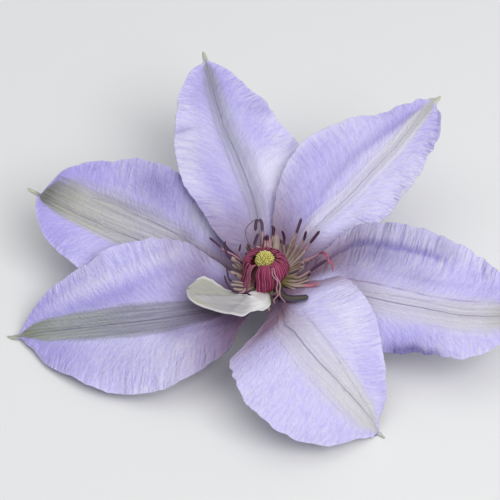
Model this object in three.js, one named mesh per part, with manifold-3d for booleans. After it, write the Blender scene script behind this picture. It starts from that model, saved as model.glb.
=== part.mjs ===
// A large-flowered clematis, picked with a short stalk and laid face up on a surface.
// Millimetres, +Z up. While it is built, 0, 0, 0 is the middle of the tepals' bases; azimuths
// run anticlockwise from +X. At the end the flower is moved to stand on the middle of its box.
import * as THREE from "three";
import { mergeVertices } from "three/addons/utils/BufferGeometryUtils.js";
import Module from "manifold-3d";

const wasm = await Module();
wasm.setup();

// Driving dimensions
const surfaceLevel = -15; // the surface that the flower lies on
const seatGap = 0.3; // between pieces that grow from one another
const tepalThickness = 0.7;
const tepalStations = 20; // steps from base to tip
const acrossHalf = [0, 0.13, 0.28, 0.52, 0.77, 1]; // steps from midrib to margin
const clawHalfWidth = 3; // of a tepal where it leaves the receptacle
const tipHalfWidth = 0.2;
const thornHalfWidth = 0.95;
const thornStart = 0.945; // share of the midrib where the blade ends and the thorn goes on
const gutterHalf = 0.24; // share of the half width that the midrib's bar takes

const receptacle = { radius: 4.7, rimZ: 3.9, stepRadius: 3.25, stepZ: 6.3, underZ: -3.4 };
const stalk = { radius: 1.6, neckZ: -8 };
const outerRing = { inner: 3.7, outer: 4.6, height: 0.9 };
const innerRing = { inner: 2.35, outer: 3.25, height: 0.8 };
const lean = { x: -1.3, y: 0.4, fromZ: 8, toZ: 11.7 }; // of the stigmas and what closes over them
const stigmas = { radius: 2.6, z: 11.9, columnRadius: 1.9, knobs: 46, knobHeight: 0.3 };

// Each tepal's midrib is four control points: reach from the middle, offset to the left hand when
// looking outwards, and height. Roll lifts the left margin. Each half has its width, where along
// the midrib it is widest, how slim its base and how blunt its end is, how far the half bends up
// at base, middle and tip in degrees, the waves of its margin, and its edge, which is the outline
// that is seen there: [share of the midrib, mm further out].
const tepals = {
  tepal_left: {
    azimuth: 157,
    midrib: [[5, 0, -1.5], [28, 1, -3], [54, 1, -1], [79, 0, 9]],
    roll: [-5, -15, -8],
    gutter: 0.3,
    left: { width: 16.5, widest: 0.58, slim: 1.1, blunt: 0.62, bend: [0, -12, -3], waves: [3, 0.6, 0.1],
      edge: [[0.6, 0], [0.68, -1.2], [0.73, -0.9], [0.78, 0.1], [0.86, 1], [0.93, 0.7], [0.96, -0.6]] },
    right: { width: 26, widest: 0.58, slim: 1.1, blunt: 0.55, bend: [0, 25, 25], waves: [3, 0.6, 0.4],
      edge: [[0.6, 0], [0.68, 0.6], [0.76, 0.3], [0.83, 1.4], [0.88, 2.2], [0.925, 3.4], [0.95, 0]] },
  },
  tepal_top: {
    azimuth: 104.5,
    midrib: [[5, 0, 0], [28, 0, 6], [54, 0, 14], [81, 0, 20]],
    roll: [5, 5, 0],
    gutter: 0.4,
    left: { width: 18, widest: 0.52, slim: 1.2, blunt: 0.7, bend: [0, 10, 0], waves: [4, 0.7, 0.1],
      edge: [[0.12, 0], [0.2, -0.6], [0.28, -1.1], [0.38, -1.5], [0.46, -0.8], [0.54, -0.2], [0.66, -0.2],
        [0.74, 0.3], [0.82, 1.3], [0.88, 1.4], [0.93, 2.2], [0.957, 0]] },
    right: { width: 20.5, widest: 0.5, slim: 1.1, blunt: 0.82, bend: [0, 0, 0], waves: [4, 0.7, 0.4],
      edge: [[0.45, 0], [0.56, 1.2], [0.6, 0.8], [0.65, -0.9], [0.7, -0.2], [0.74, 0.5], [0.8, 0],
        [0.86, 0.8], [0.9, 1.4], [0.94, 1.2], [0.957, 0]] },
  },
  tepal_upper_right: {
    azimuth: 48,
    midrib: [[5, 0, 1], [28, 3, 7.6], [54, 2, 15], [79, 0, 20]],
    roll: [3, 3, 0],
    gutter: 0.4,
    left: { width: 19, widest: 0.46, slim: 1.2, blunt: 0.85, bend: [0, 14, 0], waves: [4, 0.6, 0.3],
      edge: [[0.3, 0], [0.42, 0.8], [0.5, 1.4], [0.62, 1.8], [0.66, 1], [0.71, 1.1], [0.77, -0.5],
        [0.82, 0], [0.86, 1.2], [0.9, 1.1], [0.935, 2.9], [0.96, 1.5], [0.985, 0]] },
    right: { width: 15.5, widest: 0.58, slim: 1.1, blunt: 0.6, bend: [-8, -10, 0], waves: [4, 0.6, 0.8],
      edge: [[0.34, 0], [0.46, -1], [0.56, -1.8], [0.64, -1.1], [0.7, -0.85], [0.76, -1.2], [0.8, 0.3],
        [0.86, 1.2], [0.91, 1.1], [0.94, 2], [0.965, 0.3]] },
  },
  tepal_right: {
    azimuth: -9,
    midrib: [[5, 0, 2.2], [28, -1, 5.2], [54, -1, 6], [76, 0, 0]],
    roll: [5, 8, 0],
    gutter: 0.5,
    left: { width: 22.8, widest: 0.54, slim: 1, blunt: 0.62, bend: [8, 25, 0], waves: [4, 0.5, 0.6],
      edge: [[0.1, 0], [0.14, 0.8], [0.19, 3], [0.24, 3.3], [0.3, 2.5], [0.36, 0.9], [0.42, -0.5],
        [0.5, -1.1], [0.6, -2], [0.68, -1.7], [0.74, -0.7], [0.8, 1.2], [0.86, 1.8], [0.92, 1.6],
        [0.955, 0]] },
    right: { width: 18, widest: 0.55, slim: 1, blunt: 0.7, bend: [0, -25, 0], waves: [3, 0.6, 0.2],
      edge: [[0.4, 0], [0.5, -1], [0.56, -1.9], [0.62, -0.8], [0.68, 1.6], [0.76, 3.5], [0.83, 4.2],
        [0.9, 4], [0.94, 2], [0.96, 0]] },
  },
  tepal_bottom: {
    azimuth: -53,
    midrib: [[5, 0, 3.3], [20, -1, 10.4], [40, -2, 6.6], [54.4, 0, -19]],
    roll: [8, 2, 0],
    gutter: 0.4,
    left: { width: 18.4, widest: 0.45, slim: 1, blunt: 0.65, bend: [0, 0, 0], waves: [3, 0.6, 0.1],
      edge: [[0.12, 0], [0.17, 2.8], [0.22, 2], [0.28, 0.4], [0.34, -1.2], [0.42, -1.9], [0.5, -2.2],
        [0.6, -2.9], [0.68, -3], [0.76, -2.4], [0.84, -1.6], [0.875, -2.2], [0.9, -4.2], [0.93, -2.8],
        [0.955, 0]] },
    right: { width: 31, widest: 0.53, slim: 1.6, blunt: 0.52, bend: [0, -8, 0], waves: [3, 0.6, 0.4],
      edge: [[0.12, -0.8], [0.17, -1.9], [0.21, -1], [0.24, 2.5], [0.27, 5.4], [0.3, 4.2], [0.35, 1.5],
        [0.41, -0.8], [0.47, -1.7], [0.55, -1.2], [0.64, -0.9], [0.72, -0.2], [0.8, 0], [0.86, -0.6],
        [0.885, -2.4], [0.905, -4.8], [0.93, -4], [0.95, 0]] },
  },
  tepal_lower_left: {
    azimuth: 188,
    midrib: [[4.8, 2.4, 0.2], [28, 7, 0.4], [54, 5, -4], [78, -3.6, -15.4]],
    roll: [0, -13, -11],
    gutter: 0.9,
    left: { width: 22.5, widest: 0.48, slim: 1, blunt: 0.74, bend: [0, -8, -16], waves: [3, 0.6, 0.1],
      edge: [[0.1, 0.4], [0.16, 2.5], [0.2, 1.8], [0.24, 0.5], [0.3, 0], [0.6, -0.2], [0.68, -0.5],
        [0.73, -1.3], [0.84, -1.2], [0.89, -2.6], [0.93, -1.8], [0.95, -0.4]] },
    right: { width: 24.5, widest: 0.47, slim: 1.1, blunt: 0.72, bend: [0, 20, 10], waves: [3, 0.6, 0.4],
      edge: [[0.03, 1.2], [0.06, 3.4], [0.1, 4.8], [0.15, 5], [0.2, 4.2], [0.25, 2.6], [0.3, 1.2],
        [0.35, 0], [0.42, -0.6], [0.5, -0.4], [0.65, -0.6], [0.72, 0.7], [0.78, 1.7], [0.83, 2.6],
        [0.9, 2.4], [0.93, 1.6], [0.95, 0]] },
  },
};

// A stamen that grew into a small curled petal; it rises in front and bends to the left.
const petaloid = {
  azimuth: 188,
  midrib: [[2, 4.8, 4], [2.5, 20.8, 13.5], [17.1, 6.3, 3.8], [24.1, 2.4, 6]],
  stations: 16,
  roll: [0, 6, 0],
  gutter: 0,
  thickness: 0.6,
  claw: 1.3,
  left: { width: 4.6, widest: 0.7, slim: 0.5, blunt: 0.36, bend: [-70, -18, 20], waves: [2, 0.3, 0.2],
    edge: [[0.12, 0], [0.22, -1.2], [0.34, -1.5], [0.44, 0], [0.6, -0.2], [0.72, -0.7], [0.86, 0],
      [0.92, 0.2]] },
  right: { width: 4.4, widest: 0.74, slim: 0.6, blunt: 0.36, bend: [10, -6, 28], waves: [2, 0.3, 0.6],
    edge: [[0.04, 1.1], [0.12, 1.3], [0.2, 0.6], [0.3, 0.2], [0.44, 0.3], [0.68, 0], [0.76, 0.7], [0.84, 1.7],
      [0.92, 2.3], [0.96, 1.8]] },
};

const outerStamens = { count: 38, firstAzimuth: -88, lastAzimuth: 200, wide: 0.42, thick: 0.32 };
const innerStamens = { count: 26, wide: 0.62, thick: 0.32 };

const colours = {
  tepal: 0xc9c4e8,
  petaloid: 0xe4e3d6,
  stalk: 0x7f8f4e,
  outerStamens: 0xc9ac9c,
  innerStamens: 0x8e2f55,
  pistils: 0xc3c64a,
};

// Curves and numbers

const degrees = THREE.MathUtils.degToRad;
const smooth = (x) => THREE.MathUtils.smoothstep(x, 0, 1);
const mix = THREE.MathUtils.lerp;

// Three values along a midrib, at its base, middle and tip.
function along(t, [base, middle, tip]) {
  return t < 0.5 ? mix(base, middle, smooth(t * 2)) : mix(middle, tip, smooth(t * 2 - 1));
}

// Repeatable random numbers from 0 to 1.
function randomFrom(seed) {
  let state = seed;
  return () => {
    state = (Math.imul(state, 1664525) + 1013904223) >>> 0;
    return state / 2 ** 32;
  };
}

// Blades: tepals and the petaloid

// A margin's own shape, eased between its places.
function edgeAt(t, edge = []) {
  const stops = [[0, 0], ...edge, [1, 0]];
  const next = Math.max(1, stops.findIndex(([place]) => place >= t));
  const [[from, a], [to, b]] = [stops[next - 1], stops[next]];
  return mix(a, b, smooth((t - from) / (to - from)));
}

function halfWidth(t, side, claw, thorn) {
  const s = Math.min(t / (thorn ? thornStart : 1), 1);
  const rise = s < side.widest ? s / side.widest : (1 - s) / (1 - side.widest);
  const blade = side.width * Math.sin((Math.PI / 2) * rise) ** (s < side.widest ? side.slim : side.blunt);
  const spike = thorn
    ? thornHalfWidth * smooth((t - 0.7) / (thornStart - 0.7)) * Math.min(1, (1 - t) / (1 - thornStart)) ** 0.8
    : 0;
  return Math.max(tipHalfWidth, blade + claw * (1 - t) ** 3 + spike + edgeAt(t, side.edge));
}

// The upper surface, as rows of points from margin to margin, one row for each station.
function bladeRows(spec, thorn) {
  const out = new THREE.Vector3(Math.cos(degrees(spec.azimuth)), Math.sin(degrees(spec.azimuth)), 0);
  const left = new THREE.Vector3(-out.y, out.x, 0);
  const place = ([reach, offset, height]) =>
    new THREE.Vector3(0, 0, height).addScaledVector(out, reach).addScaledVector(left, offset);
  const curve = new THREE.CubicBezierCurve3(...spec.midrib.map(place));
  const rows = [];
  const stations = spec.stations ?? tepalStations;
  for (let i = 0; i <= stations; i++) {
    const even = i / stations;
    const t = mix(even, 0.5 - 0.5 * Math.cos(Math.PI * even), 0.85); // closer together at both ends
    const centre = curve.getPoint(t);
    const forward = curve.getTangent(t);
    const level = new THREE.Vector3(-forward.y, forward.x, 0).normalize();
    const upright = new THREE.Vector3().crossVectors(forward, level);
    const roll = degrees(along(t, spec.roll));
    const across = level.clone().multiplyScalar(Math.cos(roll)).addScaledVector(upright, Math.sin(roll));
    const normal = upright.clone().multiplyScalar(Math.cos(roll)).addScaledVector(level, -Math.sin(roll));
    const point = (side, v, sign) => {
      const arc = v * halfWidth(t, side, spec.claw ?? clawHalfWidth, thorn);
      const angle = degrees(along(t, side.bend)) * Math.max(v, 1e-3) || 1e-5;
      const [count, height, phase] = side.waves;
      const turn = 2 * Math.PI * (count * t + phase) + 0.8 * Math.sin(5.3 * t * Math.PI + phase * 9);
      const ripple = height * v ** 2.5 * smooth(t * 3) * smooth((1 - t) * 4) * Math.sin(turn);
      const sunk = spec.gutter * smooth(1 - v / gutterHalf) * smooth(t * 5) * smooth((1 - t) * 3);
      return centre
        .clone()
        .addScaledVector(across, (sign * arc * Math.sin(angle)) / angle)
        .addScaledVector(normal, (arc * (1 - Math.cos(angle))) / angle + ripple - sunk);
    };
    const rightHalf = acrossHalf.slice(1).reverse();
    rows.push([
      ...rightHalf.map((v) => point(spec.right, v, -1)),
      ...acrossHalf.map((v) => point(spec.left, v, 1)),
    ]);
  }
  return rows;
}

// A closed blade: the upper surface, the lower one a thickness below it, and a rim. Both faces
// have the same triangles, and nothing goes below the surface that the flower lies on.
function bladeGeometry(spec, thorn) {
  const rows = bladeRows(spec, thorn);
  const thickness = spec.thickness ?? tepalThickness;
  const last = rows.length - 1;
  const wide = rows[0].length;
  const positions = [];
  const under = [];
  rows.forEach((row, i) =>
    row.forEach((p, j) => {
      const forward = rows[Math.min(i + 1, last)][j].clone().sub(rows[Math.max(i - 1, 0)][j]);
      const across = row[Math.min(j + 1, wide - 1)].clone().sub(row[Math.max(j - 1, 0)]);
      const down = forward.cross(across).normalize().multiplyScalar(-thickness);
      const q = p.clone().add(down);
      positions.push(p.x, p.y, Math.max(p.z, surfaceLevel + thickness));
      under.push(q.x, q.y, Math.max(q.z, surfaceLevel));
    }),
  );
  const below = positions.length / 3;
  const index = [];
  const quad = (a, b, c, d) => index.push(a, b, c, a, c, d);
  for (let i = 0; i < last; i++)
    for (let j = 0; j < wide - 1; j++) {
      const a = i * wide + j;
      quad(a, a + wide, a + wide + 1, a + 1);
      quad(below + a, below + a + 1, below + a + wide + 1, below + a + wide);
    }
  const rim = (a, b) => quad(a, b, below + b, below + a);
  for (let i = 0; i < last; i++) {
    rim((i + 1) * wide, i * wide);
    rim(i * wide + wide - 1, (i + 1) * wide + wide - 1);
  }
  for (let j = 0; j < wide - 1; j++) {
    rim(j, j + 1);
    rim(last * wide + j + 1, last * wide + j);
  }
  return geometryOf([...positions, ...under], index);
}

// Solids

function geometryOf(positions, index) {
  return new THREE.BufferGeometry()
    .setAttribute("position", new THREE.Float32BufferAttribute(positions, 3))
    .setIndex(index);
}

// A closed tube through stations of { centre, wide, thick }, wide lying along the given direction.
function sweptGeometry(stations, acrossAt, sides) {
  const positions = [];
  const index = [];
  const points = stations.map((s) => s.centre);
  stations.forEach(({ centre, wide, thick }, i) => {
    const forward = points[Math.min(i + 1, points.length - 1)].clone().sub(points[Math.max(i - 1, 0)]).normalize();
    const across = acrossAt(centre).clone();
    across.addScaledVector(forward, -across.dot(forward)).normalize();
    const normal = new THREE.Vector3().crossVectors(forward, across);
    for (let k = 0; k < sides; k++) {
      const turn = (2 * Math.PI * (k + 0.5)) / sides;
      const p = centre
        .clone()
        .addScaledVector(across, wide * Math.cos(turn))
        .addScaledVector(normal, thick * Math.sin(turn));
      positions.push(p.x, p.y, Math.max(p.z, surfaceLevel));
    }
  });
  for (let i = 0; i < stations.length - 1; i++)
    for (let k = 0; k < sides; k++) {
      const a = i * sides + k;
      const b = i * sides + ((k + 1) % sides);
      index.push(a, b, b + sides, a, b + sides, a + sides);
    }
  const end = (stations.length - 1) * sides;
  for (let k = 1; k < sides - 1; k++) {
    index.push(0, k + 1, k);
    index.push(end, end + k, end + k + 1);
  }
  return geometryOf(positions, index);
}

// A turned ring or boss about the upright axis, from a profile of radius and height.
function turnedGeometry(profile, sides) {
  return new THREE.LatheGeometry(profile.map(([r, z]) => new THREE.Vector2(r, z)), sides).rotateX(Math.PI / 2);
}

function ringGeometry({ inner, outer, height }, z, sides) {
  const profile = [[inner, z], [outer, z], [outer, z + height], [inner, z + height], [inner, z]];
  return turnedGeometry(profile, sides);
}

// Joins closed pieces to one body.
function fused(geometries) {
  const solids = geometries.map((geometry) => {
    const bare = geometry.clone();
    bare.deleteAttribute("normal");
    bare.deleteAttribute("uv");
    const merged = mergeVertices(bare, 1e-4);
    const mesh = new wasm.Mesh({
      numProp: 3,
      vertProperties: new Float32Array(merged.attributes.position.array),
      triVerts: new Uint32Array(merged.index.array),
    });
    return new wasm.Manifold(mesh);
  });
  const joined = solids.slice(1).reduce((sum, solid) => sum.add(solid), solids[0]).getMesh();
  const positions = [];
  for (let i = 0; i < joined.numVert; i++)
    positions.push(...joined.vertProperties.subarray(i * joined.numProp, i * joined.numProp + 3));
  return geometryOf(positions, [...joined.triVerts]);
}

// The centre of the flower

// How far the stigmas' lean carries a point at this height.
function leant(x, y, z) {
  const share = smooth((z - lean.fromZ) / (lean.toZ - lean.fromZ));
  return new THREE.Vector3(x + lean.x * share, y + lean.y * share, z);
}

// A stamen from a profile of reach and height, turned to its azimuth; swing bends it sideways.
function stamenStations(azimuth, profile, sizes, swing, steps) {
  const curve = new THREE.CatmullRomCurve3(profile.map(([r, z]) => new THREE.Vector3(r, 0, z)));
  return Array.from({ length: steps + 1 }, (_, i) => {
    const t = i / steps;
    const p = curve.getPoint(t);
    const turn = degrees(azimuth + swing * t * t);
    const [wide, thick] = sizes(t);
    return { centre: leant(p.x * Math.cos(turn), p.x * Math.sin(turn), p.z), wide, thick };
  });
}

// Sideways round the flower, so that a stamen's flat side faces its middle.
const roundAbout = (p) => new THREE.Vector3(-p.y, p.x, 0).normalize();

function outerStamensGeometry() {
  const random = randomFrom(7);
  const ring = receptacle.rimZ + 0.5 + seatGap;
  const pieces = [ringGeometry(outerRing, ring, 28)];
  const { count, firstAzimuth, lastAzimuth, wide, thick } = outerStamens;
  for (let i = 0; i < count; i++) {
    const azimuth = mix(firstAzimuth, lastAzimuth, (i + 0.3 * random()) / count);
    const steep = i % 3; // three whorls, the upper ones steeper
    const reach = 16 - 2.4 * steep + 1.6 * random();
    const height = 10.5 + 2 * steep + 1.6 * random();
    const profile = [[4.1, ring + 0.45], [7.2, ring + 1.3], [10.2 - 0.7 * steep, 8.6 + 0.5 * steep], [reach, height]];
    const sizes = (t) => {
      const anther = smooth((t - 0.62) / 0.08) * smooth((1 - t) / 0.1);
      return [wide + 0.16 * anther, thick + 0.2 * anther];
    };
    const stations = stamenStations(azimuth, profile, sizes, 16 * (random() - 0.5), 6);
    pieces.push(sweptGeometry(stations, roundAbout, 4));
  }
  return fused(pieces);
}

function innerStamensGeometry() {
  const ring = receptacle.stepZ + 0.1 + seatGap;
  const pieces = [ringGeometry(innerRing, ring, 26)];
  const { count, wide, thick } = innerStamens;
  for (let i = 0; i < count; i++) {
    const short = i % 2; // every other one stops short of the stigmas
    const end = short ? [4.6, 13.8] : [3.5, 13.7];
    const profile = [[2.9, ring + 0.5], [5.4, ring + 0.05], [6.8, 7.6], [6.9, 9.6], [6.3, 11.6], [5.2, 13.1], end];
    const sizes = (t) => [mix(0.36, wide, smooth(t * 3)), thick];
    const stations = stamenStations((360 * i) / count, profile, sizes, 0, 7);
    pieces.push(sweptGeometry(stations, roundAbout, 4));
  }
  return fused(pieces);
}

// The column of styles with its head of knobbly stigmas.
function pistilsGeometry() {
  const seat = receptacle.stepZ + 0.1 + seatGap;
  const head = new THREE.IcosahedronGeometry(stigmas.radius, 6);
  const knobs = Array.from({ length: stigmas.knobs }, (_, k) => {
    const z = 1 - (2 * (k + 0.5)) / stigmas.knobs;
    const turn = k * Math.PI * (3 - Math.sqrt(5));
    return new THREE.Vector3(Math.sqrt(1 - z * z) * Math.cos(turn), Math.sqrt(1 - z * z) * Math.sin(turn), z);
  });
  const knobWidth = Math.sqrt((4 * Math.PI) / stigmas.knobs) * 0.55;
  const position = head.attributes.position;
  for (let i = 0; i < position.count; i++) {
    const p = new THREE.Vector3().fromBufferAttribute(position, i).normalize();
    const nearest = Math.min(...knobs.map((knob) => p.angleTo(knob)));
    const lift = stigmas.knobHeight * Math.sqrt(Math.max(0, 1 - (nearest / knobWidth) ** 2));
    p.multiplyScalar(stigmas.radius + lift).add(leant(0, 0, stigmas.z));
    position.setXYZ(i, p.x, p.y, p.z);
  }
  const column = Array.from({ length: 6 }, (_, i) => {
    const centre = leant(0, 0, mix(seat, stigmas.z - 1, i / 5));
    return { centre, wide: stigmas.columnRadius, thick: stigmas.columnRadius };
  });
  return fused([head, sweptGeometry(column, () => new THREE.Vector3(1, 0, 0), 14)]);
}

// The stalk leaves the receptacle downwards, bends to the back and lies along the surface.
function stalkGeometry() {
  const lying = surfaceLevel + stalk.radius * 0.9; // pressed a little flat where it lies
  const route = new THREE.CatmullRomCurve3([
    new THREE.Vector3(0, 0, receptacle.underZ + 0.6),
    new THREE.Vector3(0.4, 1.2, stalk.neckZ),
    new THREE.Vector3(3, 8.5, -12.4),
    new THREE.Vector3(7.5, 18.5, lying),
    new THREE.Vector3(12, 28.5, lying),
    new THREE.Vector3(15.5, 38.5, lying),
  ]);
  const steps = 18;
  const stations = Array.from({ length: steps + 1 }, (_, i) => {
    const t = i / steps;
    const flare = 1.5 * (1 - smooth(t * 6)); // swells into the receptacle
    const radius = stalk.radius + flare;
    return { centre: route.getPoint(t), wide: radius, thick: radius };
  });
  const shaft = sweptGeometry(stations, () => new THREE.Vector3(1, -0.4, 0), 14);
  const { radius, rimZ, stepRadius, stepZ, underZ } = receptacle;
  const boss = turnedGeometry(
    [[0, underZ - 1.4], [2.6, underZ - 1], [4, underZ], [radius, underZ + 1.4], [radius, rimZ], [4.4, rimZ + 0.5],
      [stepRadius + 0.15, rimZ + 0.5], [stepRadius, stepZ - 0.3], [stepRadius - 0.3, stepZ], [0, stepZ + 0.1]],
    32,
  );
  return fused([boss, shaft]);
}

// The flower

function named(name, geometry, colour, roughness) {
  const mesh = new THREE.Mesh(geometry, new THREE.MeshStandardMaterial({ color: colour, roughness, metalness: 0 }));
  mesh.name = name;
  return mesh;
}

const flower = new THREE.Group();
for (const [name, spec] of Object.entries(tepals))
  flower.add(named(name, bladeGeometry(spec, true), colours.tepal, 0.55));
flower.add(named("petaloid", bladeGeometry(petaloid, false), colours.petaloid, 0.5));
flower.add(named("outer_stamens", outerStamensGeometry(), colours.outerStamens, 0.6));
flower.add(named("inner_stamens", innerStamensGeometry(), colours.innerStamens, 0.6));
flower.add(named("pistils", pistilsGeometry(), colours.pistils, 0.7));
flower.add(named("stalk", stalkGeometry(), colours.stalk, 0.7));

// The origin is the middle of the box, on the surface that the flower lies on.
const box = new THREE.Box3().setFromObject(flower, true);
const middle = box.getCenter(new THREE.Vector3());
flower.position.set(-middle.x, -middle.y, -box.min.z);

export default flower;
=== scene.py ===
import math
import bpy
import numpy as np
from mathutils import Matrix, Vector


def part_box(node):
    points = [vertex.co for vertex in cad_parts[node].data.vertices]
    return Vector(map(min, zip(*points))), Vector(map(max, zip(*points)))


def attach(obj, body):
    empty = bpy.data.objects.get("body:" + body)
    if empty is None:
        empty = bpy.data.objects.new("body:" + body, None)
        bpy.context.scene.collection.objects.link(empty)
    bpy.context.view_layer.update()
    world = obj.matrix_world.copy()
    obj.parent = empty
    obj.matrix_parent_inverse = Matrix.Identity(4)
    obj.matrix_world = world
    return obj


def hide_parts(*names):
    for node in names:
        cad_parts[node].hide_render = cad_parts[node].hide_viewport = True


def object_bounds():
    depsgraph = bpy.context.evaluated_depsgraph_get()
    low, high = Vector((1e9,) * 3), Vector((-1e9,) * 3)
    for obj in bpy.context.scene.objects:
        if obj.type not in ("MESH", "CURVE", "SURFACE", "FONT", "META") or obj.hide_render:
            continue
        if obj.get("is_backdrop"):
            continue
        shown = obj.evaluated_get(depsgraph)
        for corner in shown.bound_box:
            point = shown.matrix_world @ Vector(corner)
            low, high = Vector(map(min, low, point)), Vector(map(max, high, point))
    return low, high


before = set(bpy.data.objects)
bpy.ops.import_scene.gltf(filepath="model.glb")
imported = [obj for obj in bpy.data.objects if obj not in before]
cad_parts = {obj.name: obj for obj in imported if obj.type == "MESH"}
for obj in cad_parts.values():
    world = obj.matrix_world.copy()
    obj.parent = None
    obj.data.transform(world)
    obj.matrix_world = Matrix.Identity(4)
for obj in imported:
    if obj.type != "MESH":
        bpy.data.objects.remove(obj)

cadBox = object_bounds()
mm = 0.001
body = "root"

# the flower is described from the middle of its tepals' bases, which the stalk's box gives:
# the receptacle is the furthest left and front that the stalk's node reaches
flowerBase = {"receptacleRadius": 4.7, "heightAboveSurface": 15.0}
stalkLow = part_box("stalk")[0]
origin = np.array([
    stalkLow.x / mm + flowerBase["receptacleRadius"],
    stalkLow.y / mm + flowerBase["receptacleRadius"],
    stalkLow.z / mm + flowerBase["heightAboveSurface"],
])
surfaceLevel = -flowerBase["heightAboveSurface"]
print("frame loaded, flower base at", origin.round(2), "mm")


# numbers and patterns

def smooth(x):
    x = np.clip(x, 0, 1)
    return x * x * (3 - 2 * x)


def mix(a, b, t):
    return a + (b - a) * t


def along(t, values):  # three values, at the base, middle and tip
    base, middle, tip = values
    return np.where(t < 0.5, mix(base, middle, smooth(t * 2)), mix(middle, tip, smooth(t * 2 - 1)))


def roughness(x, y, seed):  # smooth noise from -1 to 1 with one bump to a unit
    table = np.random.RandomState(seed).uniform(-1, 1, (64, 64))
    x0 = np.floor(x).astype(int)
    y0 = np.floor(y).astype(int)
    fx = smooth(x - x0)
    fy = smooth(y - y0)
    corner = lambda i, j: table[(x0 + i) % 64, (y0 + j) % 64]
    low = mix(corner(0, 0), corner(1, 0), fx)
    high = mix(corner(0, 1), corner(1, 1), fx)
    return mix(low, high, fy)


def hump(t, v, place):  # one soft swelling or dent: where, how long, how wide, how high
    at, across, length, width, height = place
    return height * np.exp(-((t - at) / length) ** 2 - ((v - across) / width) ** 2)


# making pieces

def startFresh():
    if bpy.context.object and bpy.context.object.mode != "OBJECT":
        bpy.ops.object.mode_set(mode="OBJECT")
    bpy.ops.object.select_all(action="DESELECT")


def added(name, operator, **settings):  # a new primitive, alone in the selection
    startFresh()
    operator(location=(0, 0, 0), **settings)
    piece = bpy.context.object
    piece.name = name
    piece.data.name = name
    return piece


def points(piece):
    co = np.zeros(len(piece.data.vertices) * 3)
    piece.data.vertices.foreach_get("co", co)
    return co.reshape(-1, 3)


def movePoints(piece, co):  # co is in mm from the flower's base
    world = (co + origin) * mm
    piece.data.vertices.foreach_set("co", world.astype(np.float32).ravel())
    piece.data.update()


def applied(piece, kind, **settings):
    modifier = piece.modifiers.new(kind.title(), kind)
    for key, value in settings.items():
        setattr(modifier, key, value)
    bpy.context.view_layer.objects.active = piece
    bpy.ops.object.modifier_apply(modifier=modifier.name)


def finishPiece(piece, nodes, materials):
    startFresh()
    piece.select_set(True)
    bpy.context.view_layer.objects.active = piece
    bpy.ops.object.shade_smooth()
    piece.data.materials.clear()
    for material in materials:
        piece.data.materials.append(material)
    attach(piece, body)
    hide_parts(*nodes)
    print("  ", piece.name, len(piece.data.polygons), "faces")
    return piece


# materials

def newMaterial(name):
    material = bpy.data.materials.new(name)
    material.use_nodes = True
    return material, material.node_tree, material.node_tree.nodes["Principled BSDF"]


def node(tree, kind, inputs=None, **settings):
    made = tree.nodes.new(kind)
    for key, value in settings.items():
        setattr(made, key, value)
    for key, value in (inputs or {}).items():
        if isinstance(value, bpy.types.NodeSocket):
            tree.links.new(value, made.inputs[key])
        else:
            made.inputs[key].default_value = value
    return made


def maths(tree, operation, a, b=0.0, c=0.0):
    return node(tree, "ShaderNodeMath", {0: a, 1: b, 2: c}, operation=operation).outputs[0]


def times(tree, *values):
    product = values[0]
    for value in values[1:]:
        product = maths(tree, "MULTIPLY", product, value)
    return product


def plus(tree, a, b):
    return maths(tree, "ADD", a, b)


def minus(tree, a, b):
    return maths(tree, "SUBTRACT", a, b)


def unsigned(tree, a):
    return maths(tree, "ABSOLUTE", a)


def scaled(tree, a, by, add):
    return maths(tree, "MULTIPLY_ADD", a, by, add)


def attribute(tree, name):  # a number that note() keeps at each point
    return node(tree, "ShaderNodeAttribute", attribute_name=name).outputs["Fac"]


def axes(tree, x, y, z=0.0):
    return node(tree, "ShaderNodeCombineXYZ", {"X": x, "Y": y, "Z": z}).outputs[0]


def objectPlace(tree):
    return node(tree, "ShaderNodeTexCoord").outputs["Object"]


def bladePlace(tree):  # across and along a blade, from 0 to 1
    uv = node(tree, "ShaderNodeUVMap", uv_map="UVMap").outputs["UV"]
    across, far, _ = node(tree, "ShaderNodeSeparateXYZ", {"Vector": uv}).outputs
    return across, far


def noiseAt(tree, where, scale, detail):
    return node(tree, "ShaderNodeTexNoise", {"Scale": scale, "Detail": detail, "Vector": where}).outputs["Fac"]


def ramp(tree, factor, stops):  # stops are place and value, or place and colour
    made = node(tree, "ShaderNodeValToRGB", {"Fac": factor})
    elements = made.color_ramp.elements
    while len(elements) < len(stops):
        elements.new(0.5)
    for element, (place, value) in zip(elements, stops):
        element.position = place
        element.color = (*value, 1) if isinstance(value, tuple) else (value, value, value, 1)
    return made.outputs["Color"]


def blendColours(tree, factor, a, b, way="MIX"):
    made = node(tree, "ShaderNodeMix", data_type="RGBA", blend_type=way)
    for key, value in ((0, factor), (6, a), (7, b)):
        if isinstance(value, bpy.types.NodeSocket):
            tree.links.new(value, made.inputs[key])
        else:
            made.inputs[key].default_value = (*value, 1) if isinstance(value, tuple) else value
    return made.outputs[2]


def layered(tree, colour, *coats):  # a coat is its mask, its colour and, where it isn't mixed in, the way it is laid on
    for mask, other, *way in coats:
        colour = blendColours(tree, mask, colour, other, *way)
    return colour


def finishMaterial(tree, surface, look, colour, height):  # look's bump is strength and distance in metres
    strength, distance = look["bump"]
    bump = node(tree, "ShaderNodeBump", {"Height": height, "Strength": strength, "Distance": distance})
    tree.links.new(colour, surface.inputs["Base Color"])
    tree.links.new(bump.outputs[0], surface.inputs["Normal"])
    for name, value in look["surface"].items():
        surface.inputs[name].default_value = value


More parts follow.
